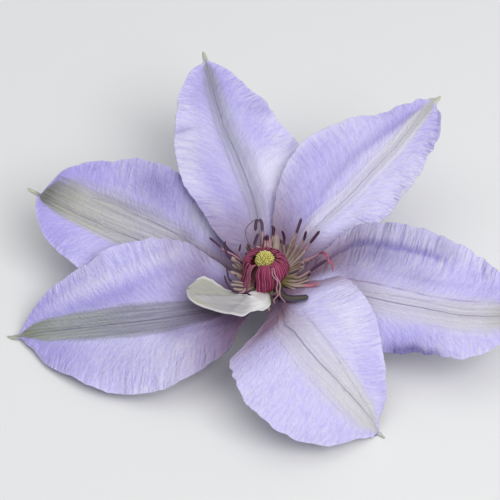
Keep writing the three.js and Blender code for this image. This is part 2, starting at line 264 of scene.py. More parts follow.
def newGroup(name, takes, gives):  # all its sockets are numbers
    group = bpy.data.node_groups.new(name, "ShaderNodeTree")
    for socket, value in takes.items():
        group.interface.new_socket(socket, in_out="INPUT", socket_type="NodeSocketFloat").default_value = value
    for socket in gives:
        group.interface.new_socket(socket, in_out="OUTPUT", socket_type="NodeSocketFloat")
    return group, group.nodes.new("NodeGroupInput").outputs, group.nodes.new("NodeGroupOutput")


def petalVeins():  # masks on a blade: 0.5 across is the midrib, along goes from 0 at the base to 1, run and arc are mm
    tree, takes, end = newGroup(
        "petalVeins",
        {"Across": 0.5, "Along": 0.5, "Run": 0.0, "Arc": 0.0, "Bar Left": 0.25, "Bar Right": 0.25, "Bar Softness": 0.2,
         "Line Left": 1.0, "Line Right": 1.0, "Line Place": 0.96, "Crimped": 1.0},
        ("Bar", "Bar Lines", "Midrib", "Side Lines", "Crimps", "Streaks", "Speckle", "Margin"))
    far, run, arc = takes["Along"], takes["Run"], takes["Arc"]

    def noise(x, perX, y, perY, detail=2.0):  # x and y are mm, with so many bumps to a mm
        return noiseAt(tree, axes(tree, times(tree, x, perX), times(tree, y, perY)), 1.0, detail)

    def fallOff(value, start, stop):  # 1 below start, 0 above stop
        return node(tree, "ShaderNodeMapRange",
                    {"Value": value, "From Min": start, "From Max": stop, "To Min": 1.0, "To Max": 0.0},
                    interpolation_type="SMOOTHSTEP").outputs["Result"]

    signed = scaled(tree, takes["Across"], 2.0, -1.0)
    out = unsigned(tree, signed)
    away = unsigned(tree, arc)
    left = maths(tree, "GREATER_THAN", signed, 0.0)

    def bySide(a, b):
        return plus(tree, times(tree, takes[a], left), times(tree, takes[b], minus(tree, 1.0, left)))

    # the bar is frayed along its sides
    grow = ramp(tree, far, [(0, 0.3), (0.25, 0.45), (0.6, 0.5), (0.8, 0.6), (0.93, 0.8)])
    half = times(tree, bySide("Bar Left", "Bar Right"), grow, 2.0)
    wisps = noise(arc, 2.6, run, 0.14, 3.0)
    soft = times(tree, half, takes["Bar Softness"])
    frayed = plus(tree, out, times(tree, scaled(tree, wisps, 2.4, -1.2), soft))
    bar = fallOff(frayed, minus(tree, half, soft), plus(tree, half, soft))
    bar = times(tree, bar, scaled(tree, wisps, 0.8, 0.6))
    barLines = times(tree, ramp(tree, noise(arc, 1.5, run, 0.045), [(0.4, 0.0), (0.58, 1.0)]), bar)

    # lines: the midrib, a vein at each side of the bar, and a fainter one halfway
    wander = noiseAt(tree, axes(tree, times(tree, run, 0.2), 3.0), 1.0, 2.0)
    wander = scaled(tree, wander, 0.5, -0.25)
    fromMidrib = unsigned(tree, plus(tree, arc, times(tree, wander, 0.5)))
    midrib = times(tree, fallOff(fromMidrib, 0.04, 0.3), ramp(tree, far, [(0.0, 1.0), (0.8, 0.7), (0.96, 0.0)]))

    def line(share, width):
        ratio = maths(tree, "DIVIDE", times(tree, half, share), maths(tree, "MAXIMUM", out, 0.01))
        apart = unsigned(tree, plus(tree, times(tree, away, minus(tree, 1.0, ratio)), wander))
        return fallOff(apart, width * 0.2, width)

    lines = maths(tree, "MAXIMUM", line(takes["Line Place"], 0.36), times(tree, line(0.5, 0.3), 0.45))
    lines = times(tree, lines, ramp(tree, far, [(0.0, 1.0), (0.7, 0.8), (0.95, 0.2)]),
                  bySide("Line Left", "Line Right"), ramp(tree, noise(run, 0.25, arc, 0.5), [(0.3, 0.25), (0.6, 1.0)]))

    # crimps stand across the margin, streaks leave the bar and run out and forwards
    slant = minus(tree, run, times(tree, away, 0.2))
    crimps = noise(slant, 1.15, arc, 0.17, 2.5)
    strong = times(tree, ramp(tree, noise(run, 0.09, arc, 0.12, 1.0), [(0.35, 0.15), (0.62, 1.0)]),
                   ramp(tree, out, [(0.3, 0.08), (0.62, 0.5), (0.9, 1.0)]))
    crimps = times(tree, minus(tree, crimps, 0.5), times(tree, strong, takes["Crimped"]))
    steep = minus(tree, run, times(tree, maths(tree, "POWER", away, 0.5), 4.2))
    streaks = noise(steep, 0.95, arc, 0.24, 5.0)
    speckle = noise(steep, 1.3, arc, 0.9, 3.0)
    margin = ramp(tree, out, [(0.9, 0.0), (1.0, 1.0)])
    for socket, value in zip(end.inputs, (bar, barLines, midrib, lines, crimps, streaks, speckle, margin)):
        tree.links.new(value, socket)
    return tree


petalVeinsGroup = petalVeins()


def petalMaterial(name, look):
    material, tree, surface = newMaterial(name)
    across, far = bladePlace(tree)
    veins = node(tree, "ShaderNodeGroup", {
        "Across": across, "Along": far, "Run": attribute(tree, "run"), "Arc": attribute(tree, "arc"),
        "Bar Left": look["barLeft"], "Bar Right": look["barRight"], "Bar Softness": look["barSoftness"],
        "Line Left": look["lines"][0], "Line Right": look["lines"][1], "Line Place": look["linePlace"],
        "Crimped": attribute(tree, "crimped")}, node_tree=petalVeinsGroup).outputs
    # violet follows the tint that the blade carries, with painted light and shade in it, deeper between the streaks;
    # deeper in the crimps' grooves and paler on their ridges as painted shade and light
    tint = plus(tree, attribute(tree, "tint"), scaled(tree, veins["Streaks"], 0.9, -0.45))
    tint = plus(tree, tint, scaled(tree, veins["Speckle"], 0.5, -0.25))
    tint = minus(tree, tint, times(tree, veins["Crimps"], 1.5))
    bar = ramp(tree, far, [(0.1, look["barFoot"]), (0.5, look["bar"]), (0.8, look["barEnd"]), (0.93, look["barTip"])])
    barShown = times(tree, ramp(tree, far, [(0.0, look["barAtBase"]), (0.4, 1.0)]), look["barStrength"])
    colour = layered(
        tree, ramp(tree, tint, [(0.0, look["pale"]), (0.5, look["lilac"]), (1.0, look["violet"])]),
        (times(tree, veins["Bar"], barShown), bar),
        (times(tree, veins["Bar Lines"], look["barLines"]), look["shade"], "MULTIPLY"),
        (veins["Side Lines"], look["vein"]),
        (times(tree, veins["Midrib"], look["midrib"]), look["vein"]),
        (times(tree, veins["Margin"], look["paleMargin"]), look["pale"]),
        # the base's mauve flush is deepened as painted shade of the flower's hollow, and the shade number lays painted
        # shadow
        (attribute(tree, "dusk"), look["dusk"], "MULTIPLY"),
        (attribute(tree, "shade"), look["shade"], "MULTIPLY"),
        (ramp(tree, far, [(0.945, 0.0), (0.975, 1.0)]), look["thorn"]))
    height = 0.0
    for mask, stands in look["relief"].items():
        height = plus(tree, height, times(tree, veins[mask], stands))
    finishMaterial(tree, surface, look, colour, height)
    return material


petalLook = {
    "barSoftness": 0.3, "barStrength": 0.8, "barAtBase": 0.6, "barLines": 0.16, "barTip": (0.5, 0.5, 0.4),
    "pale": (0.77, 0.74, 0.95),
    "lilac": (0.6, 0.56, 0.92),
    "violet": (0.45, 0.4, 0.83),
    "lines": (0.25, 0.25), "linePlace": 0.96,
    "vein": (0.3, 0.22, 0.42),
    # the flush colour below is the base's own mauve, deepened as painted shade of the flower's hollow; the shade colour
    # is painted shadow
    "dusk": (0.32, 0.2, 0.22),
    "shade": (0.3, 0.27, 0.42),
    "thorn": (0.6, 0.6, 0.46),
    "paleMargin": 0.2,
    "relief": {"Crimps": 1.7, "Streaks": 0.3, "Speckle": 0.7, "Side Lines": -0.25, "Midrib": -0.3},
    "bump": (1.0, 0.0005),
    "surface": {"Roughness": 0.5, "Sheen Weight": 0.1, "Sheen Roughness": 0.4, "Subsurface Weight": 0.2,
                "Subsurface Radius": (0.0009, 0.0008, 0.0009), "Subsurface Scale": 1.0},
}
undersideLook = dict(petalLook, pale=(0.62, 0.61, 0.74), lilac=(0.55, 0.53, 0.74), violet=(0.48, 0.45, 0.72),
                     bar=(0.42, 0.48, 0.32), barFoot=(0.36, 0.42, 0.24), barEnd=(0.5, 0.54, 0.38),
                     vein=(0.34, 0.4, 0.26), dusk=(0.5, 0.6, 0.35), barStrength=0.9, barAtBase=1.0, midrib=0.5)

# each tepal's bar colours are its own cream to grey-green tone with the light and shade where it lies painted in: the
# lower left tepal's dark grey bar is painted shade of its concave bar, and the left tepal's dark olive bar tip is
# painted shade
tepalLooks = {
    "tepal_left": {
        "bar": (0.64, 0.63, 0.64), "barEnd": (0.53, 0.53, 0.44), "barFoot": (0.55, 0.52, 0.56),
        "barTip": (0.22, 0.23, 0.14),
        "barLeft": 0.2, "barRight": 0.4, "barSoftness": 0.35, "barStrength": 0.9, "barLines": 0.3,
        "lines": (0.1, 0.75), "linePlace": 0.72, "midrib": 0.5},
    "tepal_top": {
        "bar": (0.4, 0.4, 0.5), "barEnd": (0.42, 0.43, 0.44), "barFoot": (0.5, 0.47, 0.56),
        "barTip": (0.34, 0.36, 0.28),
        "barLeft": 0.15, "barRight": 0.2, "barSoftness": 0.7, "barStrength": 0.65,
        "lines": (0.2, 0.12), "midrib": 0.35},
    "tepal_upper_right": {
        "bar": (0.76, 0.73, 0.9), "barEnd": (0.72, 0.71, 0.7), "barFoot": (0.72, 0.69, 0.84),
        "barTip": (0.6, 0.6, 0.52),
        "barLeft": 0.2, "barRight": 0.2, "barSoftness": 0.4, "barLines": 0.1, "lines": (0.22, 0.1), "midrib": 0.2},
    "tepal_right": {
        "bar": (0.7, 0.67, 0.79), "barEnd": (0.69, 0.67, 0.67), "barFoot": (0.62, 0.58, 0.68),
        "barLeft": 0.27, "barRight": 0.32, "barSoftness": 0.5, "barStrength": 0.85,
        "lines": (0.75, 0.05), "midrib": 0.7},
    "tepal_bottom": {
        "bar": (0.7, 0.67, 0.76), "barEnd": (0.72, 0.71, 0.65), "barFoot": (0.6, 0.55, 0.66),
        "barTip": (0.66, 0.66, 0.56),
        "barLeft": 0.24, "barRight": 0.22, "barSoftness": 0.5, "barStrength": 0.75, "barLines": 0.1,
        "lines": (0.25, 0.3), "midrib": 0.7},
    "tepal_lower_left": {
        "bar": (0.36, 0.36, 0.43), "barEnd": (0.42, 0.45, 0.41), "barFoot": (0.36, 0.33, 0.45),
        "barTip": (0.3, 0.33, 0.22),
        "barLeft": 0.23, "barRight": 0.22, "barSoftness": 0.22, "barStrength": 0.95, "barLines": 0.36,
        "lines": (0.25, 0.45), "midrib": 0.75},
}

# tepals, with the CAD's own sizes. Places on a blade are shares: along it from base to tip, and across from -1 at the
# right margin to 1 at the left one. midrib: reach, offset to the left hand and height of four control points, in mm.
# roll and bend: degrees at base, middle and tip. waves: count, height and phase. edge: where along, and how far out the
# margin stands in mm. midribAt: where the painted midrib runs. folds: a crease's way, its width and depth, and the
# violet and painted shade laid along it. The patch lists of tint, base flush, shade and humps: where along and across,
# how long and wide, and how much. Tint patches set the blade's own violet and also paint light and shade, such as the
# paling ones beside an overlapping tepal's margin, which paint light over that tepal's shadow. Base flush patches shape
# the mauve flush, which is deepened as painted shade of the flower's hollow. Shade patches are painted shadow.

tepals = {
    "tepal_left": {
        "azimuth": 157, "midrib": [(5, 0, -1.5), (28, 1, -3), (54, 1, -1), (79, 0, 9)],
        "roll": (-5, -15, -8), "gutter": 0.3, "crimped": (1.3, 1.1), "tint": 0.62,
        "midribAt": [(0, -0.1), (0.5, -0.08), (0.73, -0.06), (0.92, -0.05), (1, 0)],
        "dusks": [(0.29, -0.6, 0.06, 0.35, -0.3), (0.26, -0.9, 0.08, 0.25, -0.25)],
        "shades": [(0.52, -0.75, 0.18, 0.4, 0.4), (0.56, -0.77, 0.07, 0.12, 0.22), (0.34, -0.42, 0.05, 0.2, 0.35),
                   (0.93, -0.2, 0.035, 0.8, 0.35)],
        "tints": [(0.85, -0.6, 0.1, 0.5, 0.35), (0.8, 0.75, 0.15, 0.3, 0.3), (0.31, -0.8, 0.08, 0.2, -0.8)],
        "folds": [([(0.2, -0.3), (0.5, -0.36), (0.8, -0.4)], 2.0, 0.4, 0.1, 0.06)],
        "left": {"width": 16.5, "widest": 0.58, "slim": 1.1, "blunt": 0.62, "bend": (0, -12, -3),
                 "waves": (3, 0.6, 0.1),
                 "edge": [(0.6, 0), (0.68, -1.2), (0.73, -0.9), (0.78, 0.1), (0.86, 1), (0.93, 0.7), (0.96, -0.6)]},
        "right": {"width": 26, "widest": 0.58, "slim": 1.1, "blunt": 0.55, "bend": (0, 25, 25),
                  "waves": (3, 0.6, 0.4),
                  "edge": [(0.6, 0), (0.68, 0.6), (0.76, 0.3), (0.83, 1.4), (0.88, 2.2), (0.925, 3.4), (0.95, 0)]},
    },
    "tepal_top": {
        "azimuth": 104.5, "midrib": [(5, 0, 0), (28, 0, 6), (54, 0, 14), (81, 0, 20)],
        "roll": (5, 5, 0), "gutter": 0.4, "crimped": (1.1, 1.2), "tint": 0.42,
        "midribAt": [(0, -0.1), (0.28, -0.17), (0.42, -0.12), (0.58, -0.06), (0.65, 0), (0.8, 0.03), (0.95, 0)],
        "dusks": [(0.23, -0.4, 0.08, 0.3, -0.35), (0.14, 0.58, 0.07, 0.4, -0.25)],
        "shades": [(0.54, 0.65, 0.12, 0.3, 0.2), (0.84, 0.1, 0.12, 0.5, 0.2), (0.65, 0.12, 0.3, 0.2, 0.14),
                   (0.72, -0.8, 0.03, 0.3, 0.25), (0.68, 0.86, 0.02, 0.2, 0.4)],
        "tints": [(0.42, 0.45, 0.14, 0.25, 0.45), (0.86, -0.3, 0.12, 0.5, 0.4), (0.6, -0.5, 0.1, 0.3, 0.2),
                  (0.55, 0.8, 0.2, 0.25, -0.3), (0.42, -0.6, 0.14, 0.4, -0.6)],
        "humps": [(0.68, 0.86, 0.012, 0.22, -0.7), (0.66, 0.8, 0.012, 0.25, 0.4), (0.7, -0.8, 0.015, 0.2, -0.6),
                  (0.73, -0.75, 0.014, 0.2, 0.5), (0.6, -0.8, 0.018, 0.2, -0.5)],
        "left": {"width": 18, "widest": 0.52, "slim": 1.2, "blunt": 0.7, "bend": (0, 10, 0), "waves": (4, 0.7, 0.1),
                 "edge": [(0.12, 0), (0.2, -0.6), (0.28, -1.1), (0.38, -1.5), (0.46, -0.8), (0.54, -0.2),
                          (0.66, -0.2), (0.74, 0.3), (0.82, 1.3), (0.88, 1.4), (0.93, 2.2), (0.957, 0)]},
        "right": {"width": 20.5, "widest": 0.5, "slim": 1.1, "blunt": 0.82, "bend": (0, 0, 0), "waves": (4, 0.7, 0.4),
                  "edge": [(0.45, 0), (0.56, 1.2), (0.6, 0.8), (0.65, -0.9), (0.7, -0.2), (0.74, 0.5),
                           (0.8, 0), (0.86, 0.8), (0.9, 1.4), (0.94, 1.2), (0.957, 0)]},
    },
    "tepal_upper_right": {
        "azimuth": 48, "midrib": [(5, 0, 1), (28, 3, 7.6), (54, 2, 15), (79, 0, 20)],
        "roll": (3, 3, 0), "gutter": 0.4, "crimped": (0.7, 1.6), "tint": 0.38,
        "midribAt": [(0, 0.03), (0.24, 0.03), (0.42, -0.12), (0.58, -0.12), (0.74, -0.14), (0.89, 0), (1, 0)],
        "dusks": [(0.3, -0.1, 0.1, 0.5, -0.5)],
        "shades": [(0.6, 0.36, 0.25, 0.12, 0.2), (0.8, 0.45, 0.08, 0.2, 0.2), (0.42, 0.8, 0.1, 0.2, 0.12),
                   (0.92, -0.9, 0.04, 0.3, 0.3)],
        "tints": [(0.5, 0.7, 0.12, 0.25, 0.3), (0.65, -0.5, 0.2, 0.4, -0.2), (0.3, 0.6, 0.12, 0.4, 0.25),
                  (0.34, 0.4, 0.08, 0.2, 0.25)],
        "folds": [([(0.25, 0.25), (0.5, 0.32), (0.75, 0.34), (0.9, 0.4)], 1.6, 0.5, 0.15, 0.08)],
        "left": {"width": 19, "widest": 0.46, "slim": 1.2, "blunt": 0.85, "bend": (0, 14, 0), "waves": (4, 0.6, 0.3),
                 "edge": [(0.3, 0), (0.42, 0.8), (0.5, 1.4), (0.62, 1.8), (0.66, 1), (0.71, 1.1), (0.77, -0.5),
                          (0.82, 0), (0.86, 1.2), (0.9, 1.1), (0.935, 2.9), (0.96, 1.5), (0.985, 0)]},
        "right": {"width": 15.5, "widest": 0.58, "slim": 1.1, "blunt": 0.6, "bend": (-8, -10, 0),
                  "waves": (4, 0.6, 0.8),
                  "edge": [(0.34, 0), (0.46, -1), (0.56, -1.8), (0.64, -1.1), (0.7, -0.85), (0.76, -1.2),
                           (0.8, 0.3), (0.86, 1.2), (0.91, 1.1), (0.94, 2), (0.965, 0.3)]},
    },
    "tepal_right": {
        "azimuth": -9, "midrib": [(5, 0, 2.2), (28, -1, 5.2), (54, -1, 6), (76, 0, 0)],
        "roll": (5, 8, 0), "gutter": 0.5, "crimped": (2.0, 0.8), "tint": 0.42,
        "midribAt": [(0, 0), (0.2, -0.05), (0.34, -0.11), (0.47, -0.16), (0.63, -0.22), (0.76, -0.21), (0.88, -0.15),
                     (1, 0)],
        "dusks": [(0.16, 0.1, 0.06, 0.2, -1.4), (0.14, 0.65, 0.08, 0.3, 0.15), (0.2, 0.98, 0.06, 0.14, -0.4)],
        "shades": [(0.42, 0.9, 0.16, 0.2, 0.36), (0.5, -0.98, 0.09, 0.17, 0.9), (0.59, -1, 0.1, 0.1, 0.8),
                   (0.26, 0.6, 0.09, 0.3, 0.35), (0.39, 0.6, 0.12, 0.16, 0.4), (0.5, 0.42, 0.16, 0.25, 0.22),
                   (0.62, 0.84, 0.07, 0.2, 0.42), (0.4, 0.36, 0.06, 0.2, 0.2), (0.54, 0.28, 0.08, 0.14, 0.25)],
        "tints": [(0.42, 0.88, 0.25, 0.15, -0.3), (0.5, -0.75, 0.2, 0.2, 0.35), (0.75, 0.5, 0.15, 0.3, 0.2),
                  (0.75, 0.85, 0.15, 0.2, -0.3)],
        "folds": [([(0.16, 0.72), (0.29, 0.74), (0.4, 0.7), (0.52, 0.67), (0.62, 0.68)], 1.1, 1.0, 0.4, 0.15)],
        "left": {"width": 22.8, "widest": 0.54, "slim": 1, "blunt": 0.62, "bend": (8, 25, 0), "waves": (4, 0.5, 0.6),
                 "edge": [(0.1, 0), (0.14, 0.8), (0.19, 3), (0.24, 3.3), (0.3, 2.5), (0.36, 0.9), (0.42, -0.5),
                          (0.5, -1.1), (0.6, -2), (0.68, -1.7), (0.74, -0.7), (0.8, 1.2), (0.86, 1.8),
                          (0.92, 1.6), (0.955, 0)]},
        "right": {"width": 18, "widest": 0.55, "slim": 1, "blunt": 0.7, "bend": (0, -25, 0), "waves": (3, 0.6, 0.2),
                  "edge": [(0.4, 0), (0.5, -1), (0.56, -1.9), (0.62, -0.8), (0.68, 1.6),
                           (0.76, 3.5), (0.83, 4.2), (0.9, 4), (0.94, 2), (0.96, 0)]},
    },
    "tepal_bottom": {
        "azimuth": -53, "midrib": [(5, 0, 3.3), (20, -1, 10.4), (40, -2, 6.6), (54.4, 0, -19)],
        "roll": (8, 2, 0), "gutter": 0.4, "crimped": (0.6, 0.5), "tint": 0.3,
        "midribAt": [(0, -0.4), (0.1, -0.54), (0.18, -0.44), (0.23, -0.31), (0.28, -0.23), (0.44, -0.22), (0.52, -0.2),
                     (0.66, -0.15), (0.82, -0.07), (0.91, 0), (1, 0)],
        "dusks": [(0.23, 0.3, 0.1, 0.4, -0.6), (0.27, 0.68, 0.08, 0.35, -0.5), (0.14, -0.6, 0.06, 0.4, 0.2),
                  (0.1, -0.5, 0.06, 0.5, 0.4), (0.22, -0.68, 0.05, 0.25, 0.4)],
        "shades": [(0.11, -0.8, 0.05, 0.4, 0.6)],
        "tints": [(0.6, -0.5, 0.2, 0.3, 0.2), (0.7, 0.7, 0.15, 0.3, 0.25), (0.4, 0.6, 0.12, 0.3, -0.2)],
        "folds": [([(0.2, -0.26), (0.5, -0.3), (0.85, -0.3)], 1.5, 0.3, 0.05, 0.04),
                  ([(0.2, 0.3), (0.5, 0.33), (0.85, 0.3)], 1.5, 0.25, 0.05, 0.03)],
        "left": {"width": 18.4, "widest": 0.45, "slim": 1, "blunt": 0.65, "bend": (0, 0, 0), "waves": (3, 0.6, 0.1),
                 "edge": [(0.12, 0), (0.17, 2.8), (0.22, 2), (0.28, 0.4), (0.34, -1.2), (0.42, -1.9), (0.5, -2.2),
                          (0.6, -2.9), (0.68, -3), (0.76, -2.4), (0.84, -1.6), (0.875, -2.2), (0.9, -4.2),
                          (0.93, -2.8), (0.955, 0)]},
        "right": {"width": 31, "widest": 0.53, "slim": 1.6, "blunt": 0.52, "bend": (0, -8, 0), "waves": (3, 0.6, 0.4),
                  "edge": [(0.12, -0.8), (0.17, -1.9), (0.21, -1), (0.24, 2.5), (0.27, 5.4), (0.3, 4.2), (0.35, 1.5),
                           (0.41, -0.8), (0.47, -1.7), (0.55, -1.2), (0.64, -0.9), (0.72, -0.2), (0.8, 0),
                           (0.86, -0.6), (0.885, -2.4), (0.905, -4.8), (0.93, -4), (0.95, 0)]},
    },
    "tepal_lower_left": {
        "azimuth": 188, "midrib": [(4.8, 2.4, 0.2), (28, 7, 0.4), (54, 5, -4), (78, -3.6, -15.4)],
        "roll": (0, -13, -11), "gutter": 0.9, "crimped": (1.1, 0.9), "tint": 0.52,
        "midribAt": [(0, 0.1), (0.17, 0.1), (0.27, 0.06), (0.4, 0.03), (0.63, -0.02), (0.79, -0.04), (0.92, -0.08),
                     (1, 0)],
        "dusks": [(0.22, -0.95, 0.06, 0.3, -0.3), (0.1, -0.9, 0.06, 0.35, -0.6), (0.13, -0.62, 0.05, 0.2, -0.3)],
        "shades": [(0.2, 0.6, 0.1, 0.4, 0.15), (0.52, 0.55, 0.16, 0.25, 0.17), (0.62, -0.3, 0.2, 0.12, 0.12),
                   (0.33, 0.28, 0.06, 0.14, 0.4)],
        "tints": [(0.8, 0.6, 0.15, 0.4, 0.35), (0.6, -0.35, 0.25, 0.14, 0.3), (0.35, 0.6, 0.15, 0.4, -0.2),
                  (0.85, -0.7, 0.1, 0.3, 0.3)],
        "folds": [([(0.25, -0.84), (0.36, -0.74), (0.54, -0.6), (0.7, -0.62), (0.84, -0.65)], 2.2, -0.5, -0.2, 0.0),
                  ([(0.3, -0.6), (0.54, -0.42), (0.75, -0.45)], 2.0, 0.4, 0.2, 0.04)],
        "left": {"width": 22.5, "widest": 0.48, "slim": 1, "blunt": 0.74, "bend": (0, -8, -16),
                 "waves": (3, 0.6, 0.1),
                 "edge": [(0.1, 0.4), (0.16, 2.5), (0.2, 1.8), (0.24, 0.5), (0.3, 0), (0.6, -0.2),
                          (0.68, -0.5), (0.73, -1.3), (0.84, -1.2), (0.89, -2.6), (0.93, -1.8), (0.95, -0.4)]},
        "right": {"width": 24.5, "widest": 0.47, "slim": 1.1, "blunt": 0.72, "bend": (0, 20, 10),
                  "waves": (3, 0.6, 0.4),
                  "edge": [(0.03, 1.2), (0.06, 3.4), (0.1, 4.8), (0.15, 5), (0.2, 4.2), (0.25, 2.6), (0.3, 1.2),
                           (0.35, 0), (0.42, -0.6), (0.5, -0.4), (0.65, -0.6), (0.72, 0.7), (0.78, 1.7), (0.83, 2.6),
                           (0.9, 2.4), (0.93, 1.6), (0.95, 0)]},
    },
}

bladeSizes = {
    "steps": 320, "stepsAcross": 124,  # of a tepal's mesh
    "length": 76.0,
    "claw": 3.0,             # half width where the tepal leaves the receptacle
    "tip": 0.2,
    "thorn": 0.7, "thornStart": 0.945, "thornCrown": 0.45,
    "gutterHalf": 0.24,
    "thickness": 0.4,
    "fray": 0.28, "fraySpacing": (3.1, 1.1),  # how far the margin wanders in and out
    "clearance": 0.02,       # over the surface that the flower lies on
}
relief = {
    "crimp": 0.24, "crimpSpacing": 1.4,     # across the margin
    "fine": 0.07, "fineSpacing": 0.7,
    "ripple": 0.4, "rippleSpacing": 5.5,    # of the margin alone
    "groove": 0.2, "grooveWidth": 0.5,      # along the midrib
    "ribs": 0.08, "ribSpacing": 1.9,        # along the bar
    "pleats": 0.22, "pleatSize": (24, 1.7),
    "broad": 0.3,
    "seed": 11,
}
# mottled and the tip's tint are the blade's own tone; the last value is how far along the base's mauve flush, deepened
# as painted shade of the flower's hollow, reaches
shading = {"mottled": 0.16, "tipTint": 0.17, "tipFrom": 0.6, "duskTo": 0.48}


def halfWidth(t, side, claw, thorn):
    s = np.minimum(t / (bladeSizes["thornStart"] if thorn else 1), 1)
    rise = np.where(s < side["widest"], s / side["widest"], (1 - s) / (1 - side["widest"]))
    power = np.where(s < side["widest"], side["slim"], side["blunt"])
    blade = side["width"] * np.sin(math.pi / 2 * np.clip(rise, 0, 1)) ** power
    start = bladeSizes["thornStart"]
    spike = bladeSizes["thorn"] * smooth((t - 0.7) / (start - 0.7)) * np.minimum(1, (1 - t) / (1 - start)) ** 0.8
    places, out = np.array([(0, 0)] + side["edge"] + [(1, 0)]).T
    n = np.clip(np.searchsorted(places, t, side="left"), 1, len(places) - 1)
    own = mix(out[n - 1], out[n], smooth((t - places[n - 1]) / np.maximum(places[n] - places[n - 1], 1e-9)))
    if thorn:  # the margin is finely uneven
        run = t * bladeSizes["length"]
        coarse, close = (run / spacing for spacing in bladeSizes["fraySpacing"])
        uneven = roughness(coarse, side["width"] + 0 * t, 91) + 0.45 * roughness(close, side["width"] + 7 + 0 * t, 92)
        own = own + uneven * bladeSizes["fray"] * smooth((t - 0.1) * 8) * smooth((0.93 - t) * 12) + spike
    return np.maximum(bladeSizes["tip"], blade + claw * (1 - t) ** 3 + own)


def bladePlaces(spec, t, v, thorn=True):  # points of the upper surface and the half width there
    azimuth = math.radians(spec["azimuth"])
    out = np.array([math.cos(azimuth), math.sin(azimuth), 0])
    left = np.array([-out[1], out[0], 0])
    p = [out * reach + left * offset + np.array([0, 0, height]) for reach, offset, height in spec["midrib"]]
    s, u = 1 - t[:, None], t[:, None]
    centre = s ** 3 * p[0] + 3 * s * s * u * p[1] + 3 * s * u * u * p[2] + u ** 3 * p[3]
    forward = s * s * (p[1] - p[0]) + 2 * s * u * (p[2] - p[1]) + u * u * (p[3] - p[2])
    forward /= np.linalg.norm(forward, axis=1, keepdims=True)
    level = np.stack([-forward[:, 1], forward[:, 0], np.zeros(len(t))], 1)
    level /= np.linalg.norm(level, axis=1, keepdims=True)
    upright = np.cross(forward, level)
    roll = np.radians(along(t, spec["roll"]))[:, None]
    across = level * np.cos(roll) + upright * np.sin(roll)
    normal = upright * np.cos(roll) - level * np.sin(roll)
    a = np.maximum(np.abs(v), 1e-4)
    arc = np.zeros(len(t))
    angle = np.zeros(len(t))
    ripple = np.zeros(len(t))
    for side, mask in ((spec["left"], v >= 0), (spec["right"], v < 0)):
        width = halfWidth(t, side, spec.get("claw", bladeSizes["claw"]), thorn)
        arc = np.where(mask, a * width, arc)
        angle = np.where(mask, np.radians(along(t, side["bend"])) * np.maximum(a, 1e-3), angle)
        count, height, phase = side["waves"]
        turn = 2 * math.pi * (count * t + phase) + 0.8 * np.sin(5.3 * t * math.pi + phase * 9)
        wave = height * a ** 2.5 * smooth(t * 3) * smooth((1 - t) * 4) * np.sin(turn)
        ripple = np.where(mask, wave, ripple)
    angle = np.where(np.abs(angle) < 1e-5, 1e-5, angle)
    sunk = spec["gutter"] * smooth(1 - a / bladeSizes["gutterHalf"]) * smooth(t * 5) * smooth((1 - t) * 3)
    sideways = np.sign(v) * arc * np.sin(angle) / angle
    upwards = arc * (1 - np.cos(angle)) / angle + ripple - sunk
    return centre, across, normal, sideways, upwards, arc


def crinkles(spec, t, v, arc, seed):  # the fine relief of a tepal, in mm
    a = np.abs(v)
    run = t * bladeSizes["length"]
    slanted = run - arc * 0.2
    shifted = midribShare(spec, t, v)
    fromMidrib = shifted * widthAt(v, arc)
    long, wide = relief["pleatSize"]
    crimp = roughness(slanted / relief["crimpSpacing"], v * 2.2 + 20, seed) * smooth((a - 0.3) / 0.65)
    fine = roughness(slanted / relief["fineSpacing"], v * 6 + 31, seed + 1) * smooth((a - 0.15) / 0.5)
    ripple = roughness(run / relief["rippleSpacing"] + 3, np.sign(v) * 4 + 9, seed + 3) * smooth((a - 0.72) / 0.3)
    ribs = np.cos(fromMidrib * 2 * math.pi / relief["ribSpacing"]) * smooth(1.3 - np.abs(shifted) / 0.3)
    broad = roughness(t * 7 + 5, v * 2.5 + 9, seed + 2) * smooth(a * 2)
    pleats = roughness(run / long + 2, fromMidrib / wide + 40, seed + 5)
    pleats = pleats * smooth(np.abs(shifted) * 8) * smooth((0.85 - a) / 0.4)
    groove = np.exp(-(fromMidrib / relief["grooveWidth"]) ** 2) * smooth(t * 8)
    total = (crimp * np.where(v > 0, *spec["crimped"]) * relief["crimp"] + fine * relief["fine"]
             + ripple * relief["ripple"] + ribs * relief["ribs"] + broad * relief["broad"]
             + pleats * relief["pleats"] - groove * relief["groove"])
    total = patches(t, v, total * smooth(t * 4) * smooth((1 - t) * 7), spec.get("humps", []))
    return total - sum(fold[2] * nearFold(fold, t, v, arc) for fold in spec.get("folds", []))


def widthAt(v, arc):  # half width of the blade on the side of each point
    return arc / np.maximum(np.abs(v), 1e-4)


def midribShare(spec, t, v):  # across share measured from the midrib, which wanders beside the blade's own middle
    places, shares = np.array(spec["midribAt"]).T
    middle = sum(np.interp(t + ahead, places, shares) for ahead in np.linspace(-0.06, 0.06, 9)) / 9
    return (v - middle) / (1 - middle * v)


def nearFold(fold, t, v, arc):  # 1 along a crease's way from base to tip, 0 away from it
    places, shares = np.array(fold[0]).T
    apart = (v - np.interp(t, places, shares)) * widthAt(v, arc)
    ends = smooth((t - places[0] + 0.06) / 0.12) * smooth((places[-1] + 0.06 - t) / 0.12)
    return np.exp(-(apart / fold[1]) ** 2) * ends


def patches(t, v, start, places):  # a level with soft patches on it
    return start + sum((hump(t, v, place) for place in places), np.zeros(len(t)))


